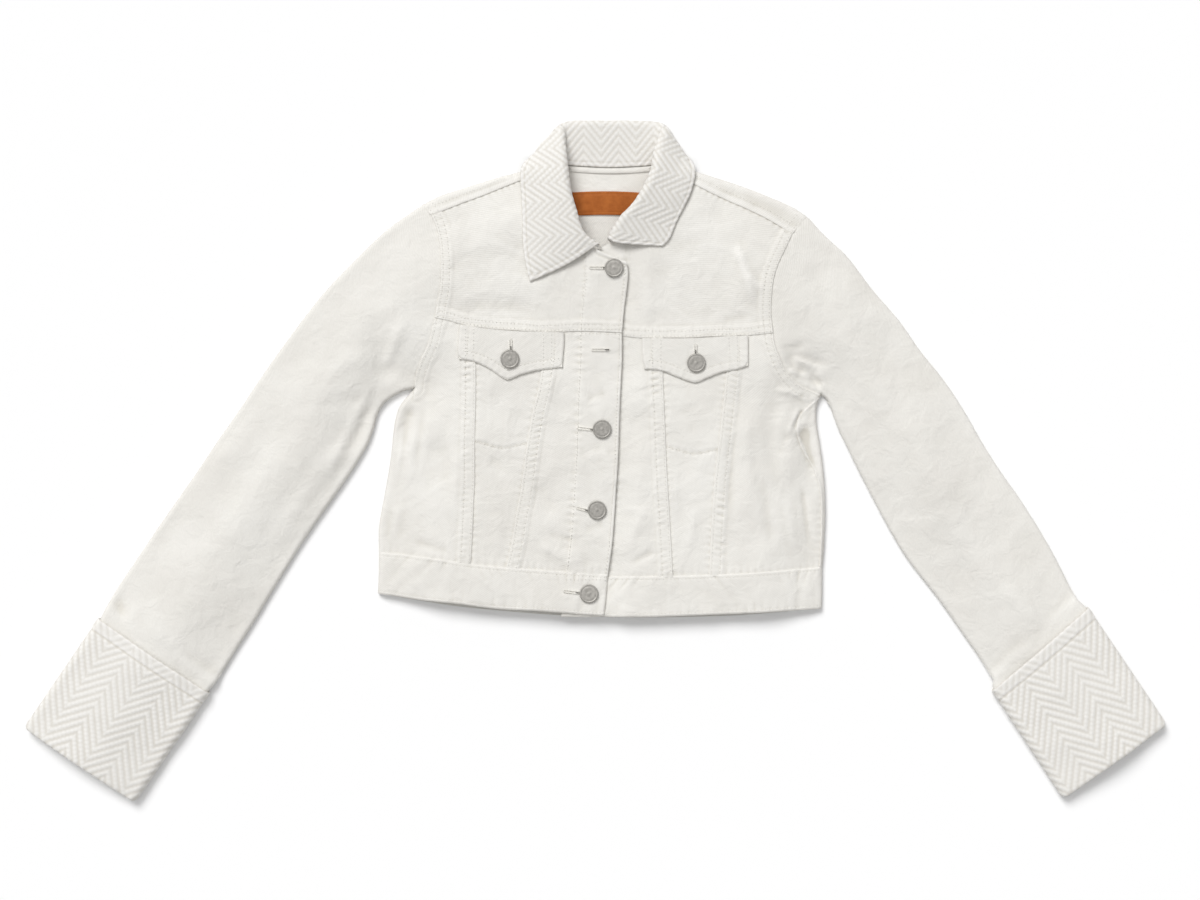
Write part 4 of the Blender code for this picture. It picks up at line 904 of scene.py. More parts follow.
# %% [markdown]
# The herringbone pattern is a sum: the distance along a column, plus or minus the distance
# across it. A ping-pong node walks up and down across the columns, so the ribs turn back
# at each border. The same sum gives the ribs their real height in `rib_height` below.
# Cuffs and collar are the same cloth at two sizes, so the pattern is a node group too.

# %% Herringbone wool
CUFF_RIBS = 10.1               # from rib to rib along a column
COLLAR_RIBS = 8.4
RIB_SLOPE = 1.22               # how far a rib runs along for each step across


def rib_height(flat, column, step, depth=0.34):
    """Ribs of twisted yarn, lumpy along their length, with narrow grooves between them."""
    walk = np.abs((flat[..., 0] / column + 1.0) % 2.0 - 1.0) * column
    phase = (flat[..., 1] - RIB_SLOPE * walk) / step
    rib = (0.5 + 0.5 * np.cos(phase * math.tau)) ** 0.7
    along = (walk + RIB_SLOPE * flat[..., 1]) / math.hypot(1.0, RIB_SLOPE)
    turned = np.cos(math.tau * (along / 4.3 + 0.5 * np.round(phase)))
    beaded = np.floor(flat[..., 0] / column + 1.0) % 2
    worn = 0.75 + 0.25 * np.sin(flat[..., 0] / 19.0 + 2.0) * np.sin(flat[..., 1] / 27.0)
    return depth * worn * rib * (1 - 0.2 * beaded) * (1 + (0.25 + 0.35 * beaded) * turned)


def herringbone_group():
    """The ribs, knots and fibres of the wool as one value, and their tone."""
    group, given, result = new_group(
        "herringbone", {"Place": "Vector", "Cut": "Vector", "Column": "Float",
                        "Turns": "Float"}, {"Colour": "Color", "Weave": "Float"})
    cut = add(group, "ShaderNodeSeparateXYZ", {"Vector": given["Cut"]}).outputs
    walk = math_node(group, "PINGPONG", cut["X"], given["Column"])
    phase = math_node(group, "MULTIPLY_ADD", walk, -RIB_SLOPE, cut["Y"])
    wave = math_node(group, "COSINE", math_node(group, "MULTIPLY", phase, given["Turns"]))
    rib = math_node(group, "MULTIPLY_ADD", wave, 0.5, 0.5)
    fibre = add(group, "ShaderNodeTexNoise", {"Vector": given["Place"], "Scale": 900.0,
                                              "Detail": 3.0, "Roughness": 0.7})
    yarn = add(group, "ShaderNodeTexVoronoi", {"Vector": given["Cut"], "Scale": 330.0})
    knots = math_node(group, "MULTIPLY_ADD", yarn.outputs["Distance"], -0.55, rib)
    weave = math_node(group, "MULTIPLY_ADD", fibre.outputs["Fac"], 0.6, knots)
    group.links.new(tones(group, weave, [(0.0, (0.74, 0.718, 0.678)),
                                         (0.3, (0.77, 0.75, 0.711)),
                                         (0.8, (0.80, 0.783, 0.748))]), result["Colour"])
    group.links.new(weave, result["Weave"])
    return group


def make_wool(name, column, step):
    finish, tree, shader = new_finish(name, 0.95)
    place = add(tree, "ShaderNodeTexCoord").outputs
    cloth = placed(tree, HERRINGBONE, {"Place": place["Object"], "Cut": place["UV"],
                                       "Column": column * MM,
                                       "Turns": math.tau / (step * MM)})
    relief = add(tree, "ShaderNodeAttribute", attribute_name="relief").outputs["Fac"]
    # Painted shade: grooves and hollows in the relief are coloured darker; raised wool is made
    # paler as rubbed wear.
    worn = placed(tree, SHADE_AND_WEAR, {"Base": cloth["Colour"], "Relief": relief, "Reach": 0.16,
                               "Middle": 0.6, "Hollow": (0.90, 0.885, 0.855, 1.0),
                               "Raised": (1.05, 1.05, 1.06, 1.0)})
    tree.links.new(worn["Colour"], shader.inputs["Base Color"])
    bumped(tree, shader, cloth["Weave"], 0.5, 0.0005)
    shader.inputs["Sheen Weight"].default_value = 0.15
    shader.inputs["Sheen Roughness"].default_value = 0.5
    return finish


HERRINGBONE = herringbone_group()
CUFF_COLUMN = 24.0
COLLAR_COLUMN = 17.5
CUFF_WOOL = make_wool("herringbone_cuff", CUFF_COLUMN, CUFF_RIBS)
COLLAR_WOOL = make_wool("herringbone_collar", COLLAR_COLUMN, COLLAR_RIBS)

# %% [markdown]
# Thread, leather, button metal and the dark of a buttonhole are small areas, so each has a
# simple finish with a little unevenness in its colour and its surface.

# %% Thread, leather, metal and shadow
def make_plain(name, rough, low, high, scale, bump_height=0.0):
    finish, tree, shader = new_finish(name, rough)
    place = add(tree, "ShaderNodeTexCoord").outputs
    mottle = placed(tree, MOTTLE, {"Place": place["Object"], "Scale": scale, "Detail": 4.0,
                                   "Roughness": 0.6, "Low": (*low, 1.0),
                                   "High": (*high, 1.0)})
    tree.links.new(mottle["Colour"], shader.inputs["Base Color"])
    if bump_height:
        bumped(tree, shader, mottle["Cloud"], 0.6, bump_height * MM)
    return finish, shader


THREAD, _ = make_plain("sewing_thread", 0.7, (0.80, 0.785, 0.74), (0.88, 0.865, 0.82), 900.0)
LEATHER, hide = make_plain("leather", 0.6, (0.32, 0.085, 0.012), (0.45, 0.135, 0.024), 130.0,
                           0.3)
hide.inputs["Specular IOR Level"].default_value = 0.2
METAL, stamped = make_plain("button_metal", 0.58, (0.32, 0.31, 0.285), (0.47, 0.45, 0.42),
                            420.0, 0.15)
stamped.inputs["Metallic"].default_value = 0.85
SHADOW, _ = make_plain("buttonhole_shadow", 0.9, (0.05, 0.045, 0.04), (0.09, 0.08, 0.07),
                       500.0)
SLIT_SHADE, _ = make_plain("slit_shade", 0.9, (0.30, 0.28, 0.25), (0.42, 0.40, 0.36), 500.0)
print("Finishes:", [m.name for m in bpy.data.materials][-7:])

# %% [markdown]
# ## Felled seams and puckers
# A felled seam is a strip of double cloth with two rows of stitches. On the panel that
# lies on top, the strip stands up a little, its edge rolls down, each row of stitches
# presses a groove, and the cloth between the rows dimples. The panel beneath runs on
# under that edge, and only dimples a little beside it.

# %% Seam relief
EDGE_ROW = 2.3                 # from a sewn edge to the first row of stitches
FAR_ROW = 2.6                  # from the strip's other edge back to the second row


def dents(along, wave, seed):
    """Uneven dents in a row: flat between them, and some much deeper than others."""
    ripple = uneven_ripple(along, wave, seed)
    strength = 0.65 + 0.5 * np.sin(along / 9.7 + seed * 5.0) * np.sin(along / 23.0 + seed)
    return -strength * np.maximum(ripple + 0.25, 0.0) ** 1.4


def lap(points, line, side, width, seed, rise=1.1, dimples=0.8, wave=6.5):
    """Height of the sewn strip along a line; side is +1 where the strip is on its left."""
    along, apart = beside(points, line)
    apart = apart * side
    strip = (0.45 + 0.55 * ease(apart / 0.9)) * ease((width + 3.5 - apart) / 5.5)
    far = width - FAR_ROW
    grooves = 0.3 * hump(apart, EDGE_ROW, 0.9) + 0.4 * hump(apart, far, 1.0)
    between = np.exp(-((apart - 0.66 * width) / (0.34 * width)) ** 4)
    ladder = dents(along + 0.35 * apart * math.sin(seed), wave, seed) * between
    beyond = dents(along, wave * 1.5, seed + 1) * ease((apart - far) / 1.5)
    beyond = beyond * hump(apart, far, 6.0)
    height = rise * strip - grooves + dimples * (ladder + 0.6 * beyond)
    return np.where(apart > -0.5, height, 0.0)


def dimple(points, line, seed, depth=0.35, reach=5.0, wave=7.5):
    """Dimples in the panel beneath, beside a seam, and the crease where it goes under."""
    along, apart = beside(points, line)
    return (depth * uneven_ripple(along, wave, seed) * hump(apart, 0, reach)
            - 0.35 * hump(apart, 0, 1.6))


def softened(grid, times=6):
    """A grid of heights with its small relief smoothed away."""
    for _ in range(times):
        padded = np.pad(grid, 1, mode="edge")
        grid = (padded[:-2, 1:-1] + padded[2:, 1:-1] + padded[1:-1, :-2]
                + padded[1:-1, 2:] + 2 * grid) / 6
    return grid


def standing_out(height):
    """How far each point of a net stands out of the cloth round it."""
    return height - softened(height)


def keep_relief(piece, relief):
    """Keep the relief of a net as an attribute; the finish reads it to paint shade darker into
    hollows and to pale raised cloth.
    """
    kept = piece.data.attributes.new("relief", "FLOAT", "POINT")
    kept.data.foreach_set("value", relief.ravel().astype(np.float32))


def lay_panel(node, plan, height, wall, upward=True, worn=1.0):
    """A panel from its plan and height to a finished piece of denim, for one node."""
    height = height.reshape(plan.shape[:2])
    points = np.dstack([plan, height])
    piece = cloth_grid(node + "_cloth", points, upward)
    # worn scales the relief that the finish uses for painted shade in hollows and for rubbed-pale
    # raised cloth.
    keep_relief(piece, worn * standing_out(height))
    thicken(piece, wall)
    settle(piece, node, DENIM)


VISIBLE_WALL = 0.8
TURN = {"right": 1, "left": -1}

# %% [markdown]
# ## Front yokes
# Each front yoke is the small panel from the shoulder seam to the seam across the chest.
# It is laid first, because the panels below it run up under its lower edge.

# %% Front yokes
PLACKET_STEPS = ([0.0, 0.35, 1.0, 2.0, 3.2, 4.8] + list(np.arange(7.0, 38.0, 2.2))
                 + [39.2, 40.3, 41.2, 42.0, 42.9, 44.0, 45.6])
PLACKET_ROW = 0.9              # from the placket's inner edge to its row of stitches
ARMHOLE_DIMPLES = 0.45
YOKE_DIMPLES = 0.4


def armhole_line(side):
    return joined(dense_curve(ARMHOLE_TOP[side]), dense_curve(ARMHOLE_YOKE[side]),
                  dense_curve(ARMHOLE_SIDE[side]))


def yoke_line(side):
    return joined(*[dense_curve(part) for part in YOKE_SEAM[side]])


def front_edge(side):
    return joined(dense_curve(FRONT_EDGE_YOKE[side]), dense_curve(FRONT_EDGE_BODY[side]))


def placket_relief(points, side):
    along, apart = beside(points, front_edge(side))
    apart = -apart * TURN[side]
    seed = 4.4 + TURN[side]
    height = 0.8 * (0.4 + 0.6 * ease(apart / 1.0)) * ease((PLACKET + 0.7 - apart) / 1.4)
    height += 0.35 * hump(apart, 1.6, 1.3) - 0.25 * hump(apart, 3.4, 1.0)
    height -= 0.3 * hump(apart, PLACKET - PLACKET_ROW, 0.9)
    height += 0.4 * uneven_ripple(along, 9.0, seed) * hump(apart, PLACKET, 6.0)
    height += 0.25 * uneven_ripple(along, 13.0, seed + 2) * hump(apart, 0, 6.0)
    return np.where(apart > -0.5, height, 0.0)


def make_yoke(side):
    turn = TURN[side]
    shoulder = joined(dense_curve(SHOULDER_SEAM[side]), dense_curve(NECKLINE[side]),
                      dense_curve(NECK_CORNER[side]))
    plan = net(shoulder, yoke_line(side), dense_curve(ARMHOLE_YOKE[side]),
               dense_curve(FRONT_EDGE_YOKE[side]), 1.9, LAP_STEPS, PLACKET_STEPS,
               rows=[None, YOKE_STEPS])
    points = plan.reshape(-1, 2)
    height = top_height(points)
    height += lap(points, armhole_line(side), turn, ARMHOLE_LAP, 2.0 + turn,
                  dimples=ARMHOLE_DIMPLES)
    height += lap(points, yoke_line(side), turn, YOKE_LAP, 7.0 + turn, dimples=YOKE_DIMPLES)
    height += placket_relief(points, side)
    height += dimple(points, dense_curve(SHOULDER_SEAM[side]), 3.0)
    if side == "right":
        from_top = np.abs(beside(points, dense_curve(NECK_CORNER[side]))[1])
        height += 0.7 * hump(from_top, 1.8, 1.4) - 0.5 * hump(from_top, 4.6, 1.2)
    else:
        height += underlap(points, UNDERLAP_DROP)
    lay_panel("yoke_front_" + side, plan, height, VISIBLE_WALL)


for side in TURN:
    make_yoke(side)

# %% [markdown]
# ## Side, pocket and centre panels of the fronts
# Between the chest seam and the waistband each front has three panels. The side panel and
# the centre panel carry the raised strips of the two felled seams, and the pocket panel
# runs under both. On the wearer's right the side panel ends at the folded edge; on the
# left the back wraps round to a seam that shows.

# %% Front panels
def side_edge(side, low):
    return joined(dense_curve(ARMHOLE_SIDE[side]), dense_curve(low[side]))


def pocket_bag(points, side):
    """The pocket bag inside shows as a faint step where its edge is sewn."""
    along, apart = beside(points, dense_curve(POCKET_BAG[side]))
    return (-0.6 * hump(apart, 0, 1.3) + 0.25 * hump(apart, 4.0, 3.0)
            + 0.2 * uneven_ripple(along, 7.0, 3.0) * hump(apart, 0, 5.0))


def beside_seams(points, side):
    """Dimples of a front panel below the chest seam and above the waistband."""
    band = joined(*[dense_curve(part) for part in BAND_TOP[side]])
    return dimple(points, yoke_line(side), 5.0) + dimple(points, band, 6.0, 0.3, 7.0)


def make_front(side):
    turn = TURN[side]
    yoke_parts = [dense_curve(part) for part in YOKE_SEAM[side]]
    band_parts = [dense_curve(part) for part in BAND_TOP[side]]
    outer, inner = dense_curve(OUTER_FELL[side]), dense_curve(INNER_FELL[side])
    edge = dense_curve(FRONT_EDGE_BODY[side])

    outline = side_edge(side, BODY_SIDE if side == "right" else SIDE_SEAM)
    plan = net(yoke_parts[0], band_parts[0], outline, outer, 2.0, FOLD_STEPS, LAP_STEPS,
               rows=1.5)
    stretch_under(plan, "top", "bottom")
    points = plan.reshape(-1, 2)
    height = top_height(points)
    height += lap(points, outer, -turn, FELL_LAP, 11.0 + turn)
    height += lap(points, armhole_line(side), turn, ARMHOLE_LAP, 2.0 + turn,
                  dimples=ARMHOLE_DIMPLES)
    height += beside_seams(points, side)
    if side == "left":
        height += dimple(points, dense_curve(SIDE_SEAM[side]), 8.0, 0.25)
    lay_panel("front_side_" + side, plan, height, VISIBLE_WALL)

    plan = net(yoke_parts[1], band_parts[1], outer, inner, 1.7, [0.0, 1.2], [0.0, 1.2],
               rows=1.6)
    stretch_under(plan, "top", "bottom", "left", "right")
    points = plan.reshape(-1, 2)
    height = top_height(points)
    height += dimple(points, outer, 11.0, 0.3) + dimple(points, inner, 13.0, 0.3)
    height += beside_seams(points, side)
    height += pocket_bag(points, side)
    lay_panel("front_pocket_" + side, plan, height, VISIBLE_WALL)

    plan = net(yoke_parts[2], band_parts[2], inner, edge, 1.9, LAP_STEPS, PLACKET_STEPS,
               rows=1.5)
    stretch_under(plan, "top", "bottom")
    points = plan.reshape(-1, 2)
    height = top_height(points)
    height += lap(points, inner, turn, FELL_LAP, 13.0 + turn) + placket_relief(points, side)
    height += beside_seams(points, side)
    if side == "left":
        height += underlap(points, UNDERLAP_DROP)
    lay_panel("front_centre_" + side, plan, height, VISIBLE_WALL)


for side in TURN:
    make_front(side)

# %% [markdown]
# ## Waistband
# The waistband is two layers of denim with the seams turned in between. Its front lies
# over the lower edge of the panels, so its upper edge is a soft roll with a row of
# stitches just inside, and it puckers where it was eased on.

# %% Waistband
BAND_STEPS = [0.0, 0.3, 0.8, 1.5, 2.4, 3.4, 4.6]
BAND_ROW = 3.2                 # from the waistband's upper edge to its row of stitches
HEM_ROW = 3.4
BAND_WALL = 2.0


def make_waistband(side):
    top = joined(*[dense_curve(part) for part in BAND_TOP[side]])
    hem = dense_curve(HEM[side])
    plan = net(top, hem, dense_curve(BAND_SIDE[side]), dense_curve(FRONT_EDGE_BAND[side]),
               1.6, FOLD_STEPS, BAND_STEPS, rows=[BAND_STEPS, BAND_STEPS])
    points = plan.reshape(-1, 2)
    turn = TURN[side]
    along_top, from_top = beside(points, top)
    along_hem, from_hem = beside(points, hem)
    from_edge = beside(points, dense_curve(FRONT_EDGE_BAND[side]))[1]
    from_top, from_hem = -from_top * turn, from_hem * turn
    distance = edge_distance(points)
    height = top_height(points) + BAND_RISE * ease(distance / 12.0) + 0.5 * ease(distance / 6.0)
    for off in (from_top, from_hem, np.abs(from_edge)):
        height -= 1.1 * rolled_edge(off, 2.2)
    height -= 0.3 * (hump(from_top, BAND_ROW, 0.9) + hump(from_hem, HEM_ROW, 0.9))
    lean = along_top + 0.8 * from_top * np.sin(along_top / 37.0 + turn)
    height += 0.6 * dents(lean, 10.5, 1.0 + turn) * hump(from_top, 5.0, 8.0)
    height += 0.4 * dents(along_hem, 9.5, 5.0 + turn) * hump(from_hem, 4.0, 7.0)
    height += 0.35 * uneven_ripple(lean, 27.0, 9.0 + turn)
    if side == "left":
        height += underlap(points, BAND_DROP)
    lay_panel("waistband_front_" + side, plan, height, BAND_WALL)


for side in TURN:
    make_waistband(side)

# %% [markdown]
# ## Pocket flaps
# A flap is cut double, sewn into the chest seam, and comes to a point under its button.
# It stands off the pocket, so it throws a thin shadow, and it is fuller inside the row of
# stitches than along its edge.

# %% Flaps
FLAP_ROW = 9.0                 # from the flap's edge to its row of stitches
FLAP_WALL = 1.6


def flap_outline(side):
    return joined(dense_curve(FLAP_SIDE_SEAMWARD[side]), dense_curve(FLAP_BOTTOM[side]),
                  dense_curve(FLAP_SIDE_CENTRE[side])[::-1])


def make_flap(side):
    top, bottom = dense_curve(FLAP_TOP[side]), dense_curve(FLAP_BOTTOM[side])
    plan = net(top, bottom, dense_curve(FLAP_SIDE_SEAMWARD[side]),
               dense_curve(FLAP_SIDE_CENTRE[side]), 1.3, BAND_STEPS, BAND_STEPS,
               rows=[None, BAND_STEPS])
    points = plan.reshape(-1, 2)
    along, apart = beside(points, flap_outline(side))
    apart = np.abs(apart)
    height = top_height(points, fine=0.6) + FLAP_RISE
    height -= rolled_edge(apart, 2.0)
    height -= 0.3 * hump(apart, FLAP_ROW, 1.0)
    height += 0.22 * uneven_ripple(along, 8.0, 3.0 + TURN[side]) * hump(apart, 0, 9.0)
    height += 0.5 * ease((apart - FLAP_ROW) / 14.0)
    lay_panel("flap_" + side, plan, height, FLAP_WALL)


for side in TURN:
    make_flap(side)

# %% [markdown]
# ## Back panels
# The back lies on the table and hardly shows, but it is made whole, so the jacket can be
# turned over. Two of its pieces wrap round a folded edge and show in front: the yoke over
# the shoulders, and the left side. Their net is one piece, over the fold and on beneath.

# %% Back
SIDE_SEAM_ROW = 2.4            # from a seam to the groove that its stitches press
SHOULDER_SEAM_ROW = 5.5
BACK_CELL = 5.0                # the back hardly shows, so its nets are coarse


def merge(piece, distance, outward=False):
    """Merge doubled points, as where two edges of a net meet, and turn the faces outward."""
    only(piece)
    bpy.ops.object.mode_set(mode="EDIT")
    bpy.ops.mesh.select_all(action="SELECT")
    bpy.ops.mesh.remove_doubles(threshold=distance * MM)
    if outward:
        bpy.ops.mesh.normals_make_consistent(inside=False)
    bpy.ops.object.mode_set(mode="OBJECT")


def wrapped_piece(node, over, plan, closed, seams, width):
    """A net that runs from a seam on the upper face round the fold to the table side."""
    points = over.reshape(-1, 2)
    over_z = top_height(points)
    for line in seams:
        along, apart = beside(points, line)
        apart = np.abs(apart)
        over_z += 0.9 * (0.5 + 0.5 * ease(apart / 0.9)) * ease((width + 1.5 - apart) / 3.0)
        over_z -= 0.35 * hump(apart, width, 1.0)
        over_z += 0.3 * dents(along, 8.0, width) * hump(apart, width, 4.0)
    over = np.dstack([over, over_z.reshape(over.shape[:2])])
    plan = np.dstack([plan, bottom_height(plan.reshape(-1, 2)).reshape(plan.shape[:2])])
    over[closed] = plan[closed][:, :1]
    points = np.concatenate([over, plan], axis=1)
    piece = cloth_grid(node + "_cloth", points, upward=False)
    # The relief kept here is where the finish paints shade into the hollows of the upper face.
    keep_relief(piece, np.concatenate([standing_out(over[..., 2]), 0 * plan[..., 2]], axis=1))
    merge(piece, 0.05)
    thicken(piece, CLOTH)
    settle(piece, node, DENIM)


def over_fold(fold, seam, count=13):
    """Places from a seam on the upper face out to the folded edge, crowded at both."""
    share = np.linspace(1, 0, count)
    share = (share - np.sin(share * math.tau) * 0.8 / math.tau)[None, :, None]
    return fold[:, None] + (seam - fold)[:, None] * share


def back_lines():
    yoke = np.array([ARMHOLE_SIDE["right"][0], ARMHOLE_SIDE["left"][0]], float)
    band = dense_curve(BACK_BAND_TOP)
    fells = {}
    for side, sign in (("right", -1), ("left", 1)):
        high_x = BACK_CENTRE_X + sign * BACK_FELL_TOP
        low_x = BACK_CENTRE_X + sign * BACK_FELL_HEM
        fells[side] = np.array([(high_x, np.interp(high_x, yoke[:, 0], yoke[:, 1])),
                                (low_x, np.interp(low_x, band[:, 0], band[:, 1]))])
    return yoke, band, fells


def make_back():
    yoke, band, fells = back_lines()
    for side, turn in TURN.items():
        fell = fells[side]
        seam = np.array([yoke[::turn][0], fell[0]])
        outer = band[(band[:, 0] - fell[-1, 0]) * turn < -0.4][::turn]
        low = np.vstack([outer, fell[-1:]])
        arm, fold = dense_curve(ARMHOLE_SIDE[side]), dense_curve(BODY_SIDE[side])
        share_arm = lengths_along(arm)[-1] / (lengths_along(arm)[-1] + lengths_along(fold)[-1])
        count_arm, count_fold = 14, 52
        edge = np.vstack([at_shares(arm, np.linspace(0, 1, count_arm + 1)),
                          at_shares(fold, np.linspace(0, 1, count_fold + 1))[1:]])
        share = np.concatenate([np.linspace(0, share_arm, count_arm + 1),
                                np.linspace(share_arm, 1, count_fold + 1)[1:]])
        plan = net(seam, low, edge, at_shares(fell, share), BACK_CELL, FOLD_STEPS,
                   [0.0, 2.0], share=share)
        if side == "right":
            stretch_under(plan, "right", amount=0.1)
            lay_panel("back_side_right", plan, bottom_height(plan.reshape(-1, 2)), CLOTH,
                      upward=False)
        else:
            seam_points = at_shares(dense_curve(SIDE_SEAM[side]),
                                    np.linspace(0, 1, count_fold + 1))
            over = over_fold(edge[count_arm:], seam_points)
            over = np.concatenate([np.repeat(over[:1], count_arm, axis=0), over])
            closed = np.arange(len(plan)) <= count_arm
            wrapped_piece("back_side_left", over, plan, closed,
                          [dense_curve(SIDE_SEAM[side])], SIDE_SEAM_ROW)

    inner = (band[:, 0] > fells["right"][-1, 0]) & (band[:, 0] < fells["left"][-1, 0])
    low = np.vstack([fells["right"][-1:], band[inner], fells["left"][-1:]])
    high = np.array([fells["right"][0], fells["left"][0]])
    plan = net(high, low, fells["right"], fells["left"], BACK_CELL, rows=BACK_CELL)
    lay_panel("back_centre", plan, bottom_height(plan.reshape(-1, 2)), CLOTH, upward=False)
    plan = net(band, dense_curve(BACK_HEM), dense_curve(BAND_SIDE["right"]),
               dense_curve(BAND_SIDE["left"]), 4.0, FOLD_STEPS, FOLD_STEPS, rows=3.0)
    lay_panel("waistband_back", plan, bottom_height(plan.reshape(-1, 2)), BAND_CLOTH,
              upward=False)


def make_back_yoke():
    count, neck_count = 44, 26
    parts = [at_shares(dense_curve(SHOULDER_EDGE["right"]), np.linspace(0, 1, count + 1))[::-1],
             at_shares(dense_curve(BACK_NECK), np.linspace(0, 1, neck_count + 1)),
             at_shares(dense_curve(SHOULDER_EDGE["left"]), np.linspace(0, 1, count + 1))]
    upper = joined(*parts)
    seams = [at_shares(dense_curve(SHOULDER_SEAM[side]), np.linspace(0, 1, count + 1))
             for side in ("right", "left")]
    seam = np.vstack([seams[0], parts[1][1:-1], seams[1][::-1]])
    arms = [joined(dense_curve(ARMHOLE_TOP[side]), dense_curve(ARMHOLE_YOKE[side]))
            for side in ("right", "left")]
    share = lengths_along(upper) / lengths_along(upper)[-1]
    lower = at_shares(back_lines()[0], share)
    plan = net(arms[0], arms[1], upper, lower, 4.0, FOLD_STEPS, [0.0, 2.0], share=share)
    over = over_fold(upper, seam)
    rows = np.arange(len(upper))
    closed = (rows > count) & (rows < count + neck_count)
    wrapped_piece("back_yoke", over, plan, closed,
                  [dense_curve(SHOULDER_SEAM[side]) for side in TURN], SHOULDER_SEAM_ROW)


make_back()
make_back_yoke()

# %% [markdown]
# ## Sleeves
# Each sleeve is two panels that meet along its folded edges. The rows fan out from the
# armhole and crowd at the underarm, where a laid sleeve has its deepest folds.

# %% Sleeves
UPPER_CELL = 2.8               # the size of a net's cells
UNDER_CELL = 6.5


def sleeve_plan(side, cell):
    (outer_seen, outer_inside), (inner_seen, inner_inside) = sleeve_edges(side)
    rows = int(lengths_along(outer_seen)[-1] / cell)
    t = np.linspace(0, 1, rows + 1)
    inside = max(3, int(44 / cell))
    outer = np.vstack([at_shares(outer_seen, t**1.35),
                       at_shares(np.vstack([outer_seen[-1:], outer_inside]),
                                 np.linspace(0, 1, inside + 1))[1:]])
    inner = np.vstack([at_shares(inner_seen, t**1.8),
                       at_shares(np.vstack([inner_seen[-1:], inner_inside]),
                                 np.linspace(0, 1, inside + 1))[1:]])
    share = np.linspace(0, 1, len(outer))
    end = np.array([outer[-1], inner[-1]])
    plan = net(armhole_line(side), end, outer, inner, cell, FOLD_STEPS, FOLD_STEPS, share=share,
               fade=6)
    in_cuff = ease((np.arange(len(outer)) - rows + 3) / 3.0)
    return plan, np.repeat(in_cuff[:, None], plan.shape[1], axis=1).ravel()


def make_sleeve(side):
    plan, in_cuff = sleeve_plan(side, UPPER_CELL)
    stretch_under(plan, "top")
    points = plan.reshape(-1, 2)
    height = top_height(points, in_cuff, fine=0.7)
    height += dimple(points, armhole_line(side), 2.0 + TURN[side], 0.35, 7.0, 8.0)
    # The sleeves get less painted shade in their hollows, and less rubbed paleness.
    lay_panel("sleeve_upper_" + side, plan, height, VISIBLE_WALL,
              worn=0.3)
    plan, in_cuff = sleeve_plan(side, UNDER_CELL)
    lay_panel("sleeve_under_" + side, plan, bottom_height(plan.reshape(-1, 2), in_cuff),
              VISIBLE_WALL, upward=False)


for side in TURN:
    make_sleeve(side)

# %% [markdown]
# ## Turned-up cuffs
# The cuffs are wool herringbone. The net goes once round the sleeve, from the fold on the
# inner side under the arm and back over the top, down to the folded end and a little way
# up inside. Its ribs have real height, and the top hem is a narrow roll with a groove.

# %% Cuffs
CUFF_HEM = 13.0                # depth of the hem at the cuff's top
CUFF_HEM_ROW = 12.4            # from the top to the groove that its stitches press
WOOL_SMOOTH = 60.0


def cuff_ring(start, end, depth):
    """Places round a cuff: signed distance across, and the points in space."""
    width = np.linalg.norm(end - start)
    across = (end - start) / width
    radius = CUFF_RADIUS - depth
    angles = np.radians([0, 12, 24, 36, 48, 60, 75, 90])
    turn_place = CUFF_RADIUS - radius * np.cos(angles)
    fine = np.linspace(CUFF_RADIUS, width - CUFF_RADIUS, 96)[1:-1]
    coarse = np.linspace(CUFF_RADIUS, width - CUFF_RADIUS, 40)[1:-1]
    rise = radius * np.sin(angles)
    signed, place, z = [], [], []
    for middle, sign in ((coarse, -1), (fine, 1)):
        where = np.concatenate([turn_place, middle, width - turn_place[::-1]])
        up = np.concatenate([rise, np.full(len(middle), radius), rise[::-1]])
        if sign < 0:
            where, up, first = where[::-1], up[::-1], 0
            height = CUFF_RADIUS - up
        else:
            inset, first = np.minimum(where, width - where), 1
            height = CUFF_RADIUS + up + CUFF_CROWN * ease(inset / CROWN_REACH)
        signed.append((sign * where)[first:])
        place.append(where[first:])
        z.append(height[first:])
    place, z = np.concatenate(place), np.concatenate(z)
    return np.concatenate(signed), np.column_stack([start + across * place[:, None], z])


def surface_normals(points):
    """The normals of a net, from the steps to its neighbours."""
    down = np.gradient(points, axis=0)
    across = np.gradient(points, axis=1)
    normals = np.cross(across, down)
    return normals / np.maximum(np.linalg.norm(normals, axis=2), 1e-9)[..., None]


